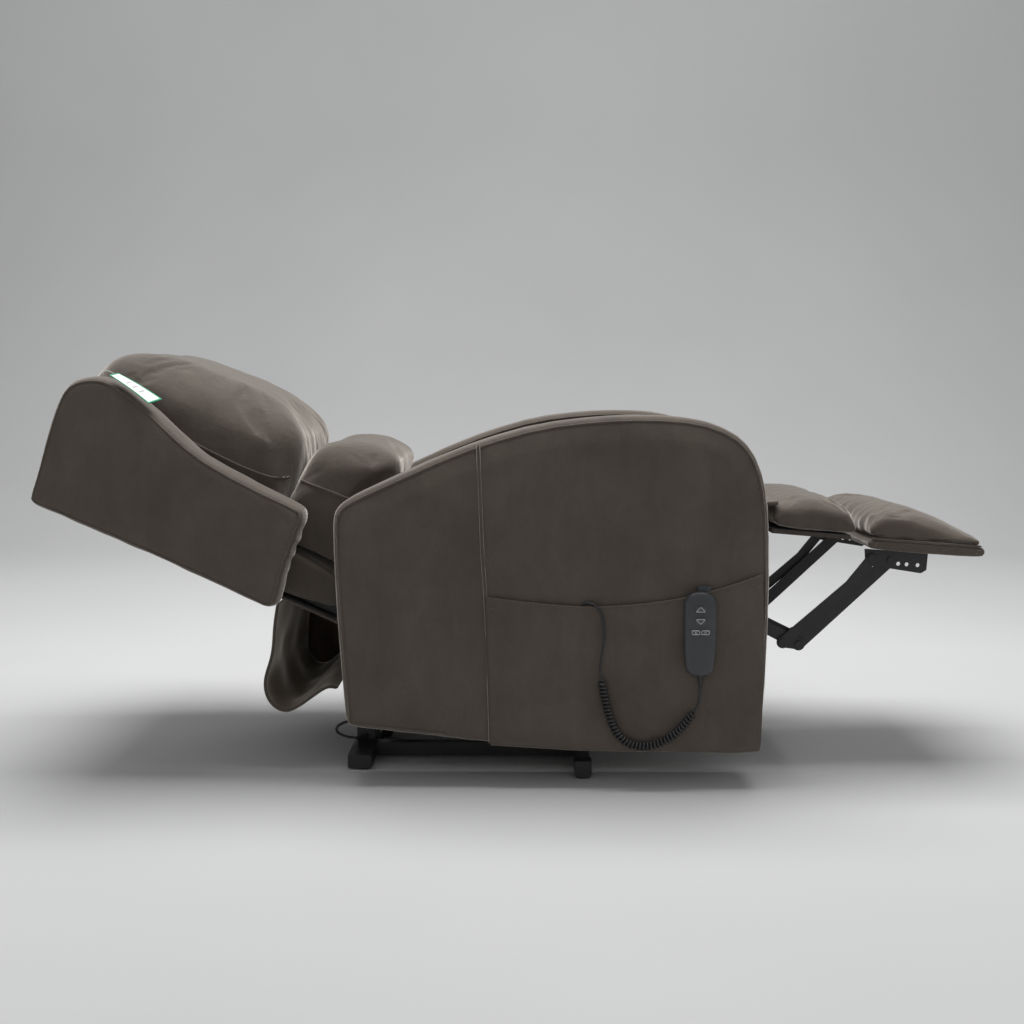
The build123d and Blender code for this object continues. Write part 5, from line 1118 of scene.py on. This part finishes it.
class RECLINER_OT_seat(bpy.types.Operator):
    """Make the seat cushion and the cloth that joins it to the back and the footrest"""
    bl_idname = "recliner.seat"
    bl_label = "Seat"

    def execute(self, context):
        half = CUSHION_HALF
        seat = padded_loop("seat_soft", SEAT_OUTLINE, -half + 0.004, half - 0.004, 0.035, 0.002, -0.004,
                           "upholstery", step=0.010)
        top = ease(positions(seat)[:, 2], 0.46, 0.50)
        points = positions(seat)
        points[:, 2] -= top * 0.006 * (points[:, 1] / half) ** 2
        place(seat, points)
        inflate(seat, 0.006, lambda spots: (spots[:, 2] < 0.43) | (np.abs(spots[:, 1]) > half - 0.02),
                pressure=3.0, voxel=0.006)
        points = positions(seat)
        swell(seat, 0.0022 * ripple(points, 0.17, 61) + 0.0008 * ripple(points, 0.06, 62))
        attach(seat, "chair")
        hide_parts("seat_cushion")
        self.bridge("seat_back_bridge", [(-0.142, 0.470), (-0.180, 0.452), (-0.225, 0.436), (-0.262, 0.425),
                                         (-0.292, 0.428)], "back",
                    (-0.150, 0.0, 0.47), (-0.275, 0.0, 0.43))
        self.bridge("seat_calf_bridge", [(0.366, 0.486), (0.392, 0.497), (0.425, 0.503), (0.458, 0.508),
                                         (0.492, 0.510)], "calf",
                    (0.385, 0.0, 0.49), (0.480, 0.0, 0.50))
        return {"FINISHED"}

    def bridge(self, name, line, body, start, end):
        """A strip of padded cloth: a side-view line carried across the seat, with an even thickness."""
        half = CUSHION_HALF - 0.006
        line = evenly(rounded(line, 2, False), 34, False)
        across = np.linspace(-half, half, 80)
        points = np.empty((len(line), len(across), 3))
        points[..., 0] = line[:, :1]
        points[..., 1] = across
        flat = np.stack([points[..., 0].ravel(), points[..., 1].ravel()], axis=1)
        points[..., 2] = line[:, 1:] + 0.0016 * ripple(flat * [0.6, 1.0], 0.10, 63).reshape(len(line), -1)
        strip = finish_mesh(name, points.reshape(-1, 3), grid_faces(len(line), len(across)), "upholstery")
        solid = strip.modifiers.new("padding", "SOLIDIFY")
        solid.thickness = 0.007
        solid.offset = -1.0
        bake(strip)
        fix_normals(strip)
        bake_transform(strip)


class RECLINER_OT_footrest(bpy.types.Operator):
    """Make the calf pad, the foot pad and the upholstered foot board"""
    bl_idname = "recliner.footrest"
    bl_label = "Footrest"

    def execute(self, context):
        half = CUSHION_HALF
        for name, outline, body, nodes, roll, cap in (
                ("calf_pad_soft", np.array(CALF_OUTLINE), "calf", "calf_pad", 0.030, 0.007),
                ("foot_pad_soft", on_board(PAD_OUTLINE), "footrest", "foot_pad", 0.030, 0.007)):
            pad = padded_loop(name, outline, -half + 0.003, half - 0.003, roll, 0.0, -0.001, "upholstery",
                              step=0.008, depth=0.055,
                              fall=lambda loop: 0.12 + 0.88 * ease(loop[:, 1]
                                      - np.interp(loop[:, 0], [0.48, 0.88], [0.470, 0.433]), 0.0, 0.035))
            inflate(pad, cap, lambda points: np.abs(points[:, 1]) > half - 0.008, pressure=4.0, voxel=0.005)
            points = positions(pad)
            pulls = 0.0016 * np.exp(-((points[:, 0] - 0.652) / 0.035) ** 2) * ripple(points[:, 1:2], 0.055,
                                                                                     71)
            swell(pad, 0.0016 * ripple(points, 0.14, 72) + 0.0006 * ripple(points, 0.05, 73) + pulls)
            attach(pad, body)
            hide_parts(nodes)
        board = padded_loop("foot_board_cover", on_board(BOARD_OUTLINE), -half + 0.001, half - 0.001, 0.007,
                            0.0, 0.0, "upholstery",
                            step=0.006, rounds=2)
        swell(board, 0.0003 * ripple(positions(board), 0.05, 74))
        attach(board, "footrest")
        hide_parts("foot_board")
        for side in (-1.0, 1.0):
            line = side_line(on_board([(0.004, -0.0005), (0.070, -0.0005), (0.140, -0.0005),
                                       (0.214, -0.0005)]), side * (half - 0.003))
            cord_along("foot_board_welt_" + ("left" if side > 0 else "right"), evenly(line, 60, False),
                       0.0022, "upholstery", "footrest", 8)
        return {"FINISHED"}


class RECLINER_OT_flap(bpy.types.Operator):
    """Make the loose cloth behind the seat, with its turned hems"""
    bl_idname = "recliner.flap"
    bl_label = "Rear flap"

    def execute(self, context):
        half = CUSHION_HALF - 0.004
        line = evenly(rounded(FLAP_LINE, 3, False), 110, False)
        across = np.linspace(-half, half, 120)
        share = np.linspace(0, 1, len(line))[:, None]
        points = np.empty((len(line), len(across), 3))
        along = np.gradient(line, axis=0)
        along /= np.linalg.norm(along, axis=1, keepdims=True)
        # Slow folds run down the cloth; they die out where it is sewn at its top and its lower end.
        flat = np.stack(np.broadcast_arrays(across[None, :], 0.35 * share), axis=2).reshape(-1, 2)
        depth = 0.0055 * ripple(flat, 0.17, 81).reshape(len(line), -1) * np.sin(np.pi * share) ** 0.7
        points[..., 0] = line[:, :1] - depth * along[:, 1:]
        points[..., 2] = line[:, 1:] + depth * along[:, :1]
        points[..., 1] = across * (1 - 0.010 * np.sin(np.pi * share))
        flap = finish_mesh("flap", points.reshape(-1, 3), grid_faces(len(line), len(across)), "upholstery")
        flap.data.materials.append(FINISHES["flap_lining"])
        solid = flap.modifiers.new("cloth", "SOLIDIFY")
        solid.thickness = 0.0022
        solid.offset = 0.0
        solid.material_offset = 1
        bake(flap)
        fix_normals(flap)
        for index, word in ((0, "right"), (-1, "left")):
            edge = points[:, index]
            hem = cord_along(f"flap_hem_{word}", edge, 0.0030, "upholstery", None, 8)
            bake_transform(hem)
        # The far end is tucked in: a gusset spans from the cloth's own line to the chair.
        tuck = evenly([(-0.400, 0.330), (-0.385, 0.290), (-0.365, 0.240), (-0.352, 0.200), (-0.346, 0.165)],
                      len(line), False)
        inner = np.linspace(0, 1, 24)[:, None]
        sheet = np.empty((24, len(line), 3))
        sheet[..., 0] = line[:, 0] * (1 - inner) + tuck[:, 0] * inner
        sheet[..., 2] = line[:, 1] * (1 - inner) + tuck[:, 1] * inner
        flat = sheet[..., [0, 2]].reshape(-1, 2)
        sheet[..., 1] = half * 0.965 - 0.030 * np.sin(np.pi * inner) + 0.010 * ripple(flat * [1.0, 0.4],
                0.07, 83).reshape(24, -1) * np.sin(np.pi * inner)
        gusset = finish_mesh("flap_gusset", sheet.reshape(-1, 3), grid_faces(24, len(line)), "flap_lining")
        solid = gusset.modifiers.new("cloth", "SOLIDIFY")
        solid.thickness = 0.0022
        solid.offset = 0.0
        bake(gusset)
        fix_normals(gusset)
        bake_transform(gusset)
        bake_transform(flap)
        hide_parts("rear_flap")
        return {"FINISHED"}


class RECLINER_OT_power(bpy.types.Operator):
    """Make the control box's cable, fixed at both ends, with its two moulded plugs"""
    bl_idname = "recliner.power"
    bl_label = "Control box cable"

    def execute(self, context):
        line = drawn_line("power_line", POWER_LEAD)
        lead = cord_along("power_cable", line, 0.0026, "lead_rubber", "base", 10)
        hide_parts("power_lead")
        for end, word in ((line[0], "lower"), (line[-1], "upper")):
            stub = np.stack([end + np.array([0.0, 0.004 - 0.016 * share, 0.0]) for share in np.linspace(0, 1,
                                                                                                        7)])
            cord_along(f"power_plug_{word}", stub, 0.0042, "lead_rubber", "base", 12)
        return {"FINISHED"}


class RECLINER_OT_tag(bpy.types.Operator):
    """Make the hang tag and its loop of string"""
    bl_idname = "recliner.tag"
    bl_label = "Hang tag"

    def execute(self, context):
        corners = np.array([(-0.7247, -0.3300, 0.7560), (-0.7300, -0.3670, 0.7525),
                            (-0.6600, -0.3690, 0.7010), (-0.6454, -0.3300, 0.7085)])
        along = np.linspace(0, 1, 40)[:, None, None]
        across = np.linspace(0, 1, 14)[None, :, None]
        near = corners[0] * (1 - across) + corners[1] * across
        far = corners[3] * (1 - across) + corners[2] * across
        points = near * (1 - along) + far * along
        points[..., 2] += 0.0020 * np.sin(np.pi * along[..., 0]) + 0.0 * across[..., 0]
        card = finish_mesh("hang_tag_card", points.reshape(-1, 3), grid_faces(40, 14), "tag_card")
        uv = np.stack(np.broadcast_arrays(along[..., 0], across[..., 0]), axis=2).reshape(-1, 2)
        set_uv(card, "card", uv)
        solid = card.modifiers.new("board", "SOLIDIFY")
        solid.thickness = 0.0007
        bake(card)
        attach(card, "back")
        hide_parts("hang_tag")
        line = drawn_line("tag_string_line", [(-0.726, -0.3480, 0.7545), (-0.736, -0.3480, 0.7600),
                                              (-0.748, -0.3470, 0.7600), (-0.756, -0.3450, 0.7470)])
        cord_along("tag_string", line, 0.0006, "glide_plastic", "back", 6)
        return {"FINISHED"}


class RECLINER_PT_panel(bpy.types.Panel):
    """Sidebar list of the recliner's colours, sizes and pieces"""
    bl_idname = "RECLINER_PT_panel"
    bl_label = "Lift recliner"
    bl_space_type = "VIEW_3D"
    bl_region_type = "UI"
    bl_category = "Recliner"

    def draw(self, context):
        layout = self.layout
        for group in (context.scene.recliner_colours, context.scene.recliner_sizes):
            box = layout.box()
            for name in group.bl_rna.properties.keys():
                if name not in ("rna_type", "name"):
                    box.prop(group, name)
        for operator in OPERATORS:
            layout.operator(operator.bl_idname)


OPERATORS = (
    RECLINER_OT_finishes, RECLINER_OT_stage, RECLINER_OT_lead, RECLINER_OT_arms, RECLINER_OT_pocket,
    RECLINER_OT_handset, RECLINER_OT_back, RECLINER_OT_seat, RECLINER_OT_footrest, RECLINER_OT_flap,
    RECLINER_OT_power, RECLINER_OT_tag,
)
CLASSES = (ReclinerColours, ReclinerSizes, *OPERATORS, RECLINER_PT_panel)


def register():
    for made in CLASSES:
        bpy.utils.register_class(made)
    bpy.types.Scene.recliner_colours = bpy.props.PointerProperty(type=ReclinerColours)
    bpy.types.Scene.recliner_sizes = bpy.props.PointerProperty(type=ReclinerSizes)


def unregister():
    del bpy.types.Scene.recliner_sizes
    del bpy.types.Scene.recliner_colours
    for made in reversed(CLASSES):
        bpy.utils.unregister_class(made)


def main():
    register()
    bpy.ops.recliner.finishes()
    bpy.ops.recliner.stage()
    bpy.ops.recliner.lead()
    bpy.ops.recliner.arms()
    bpy.ops.recliner.pocket()
    bpy.ops.recliner.handset()
    bpy.ops.recliner.back()
    bpy.ops.recliner.seat()
    bpy.ops.recliner.footrest()
    bpy.ops.recliner.flap()
    bpy.ops.recliner.power()
    bpy.ops.recliner.tag()


if __name__ == "__main__":
    main()
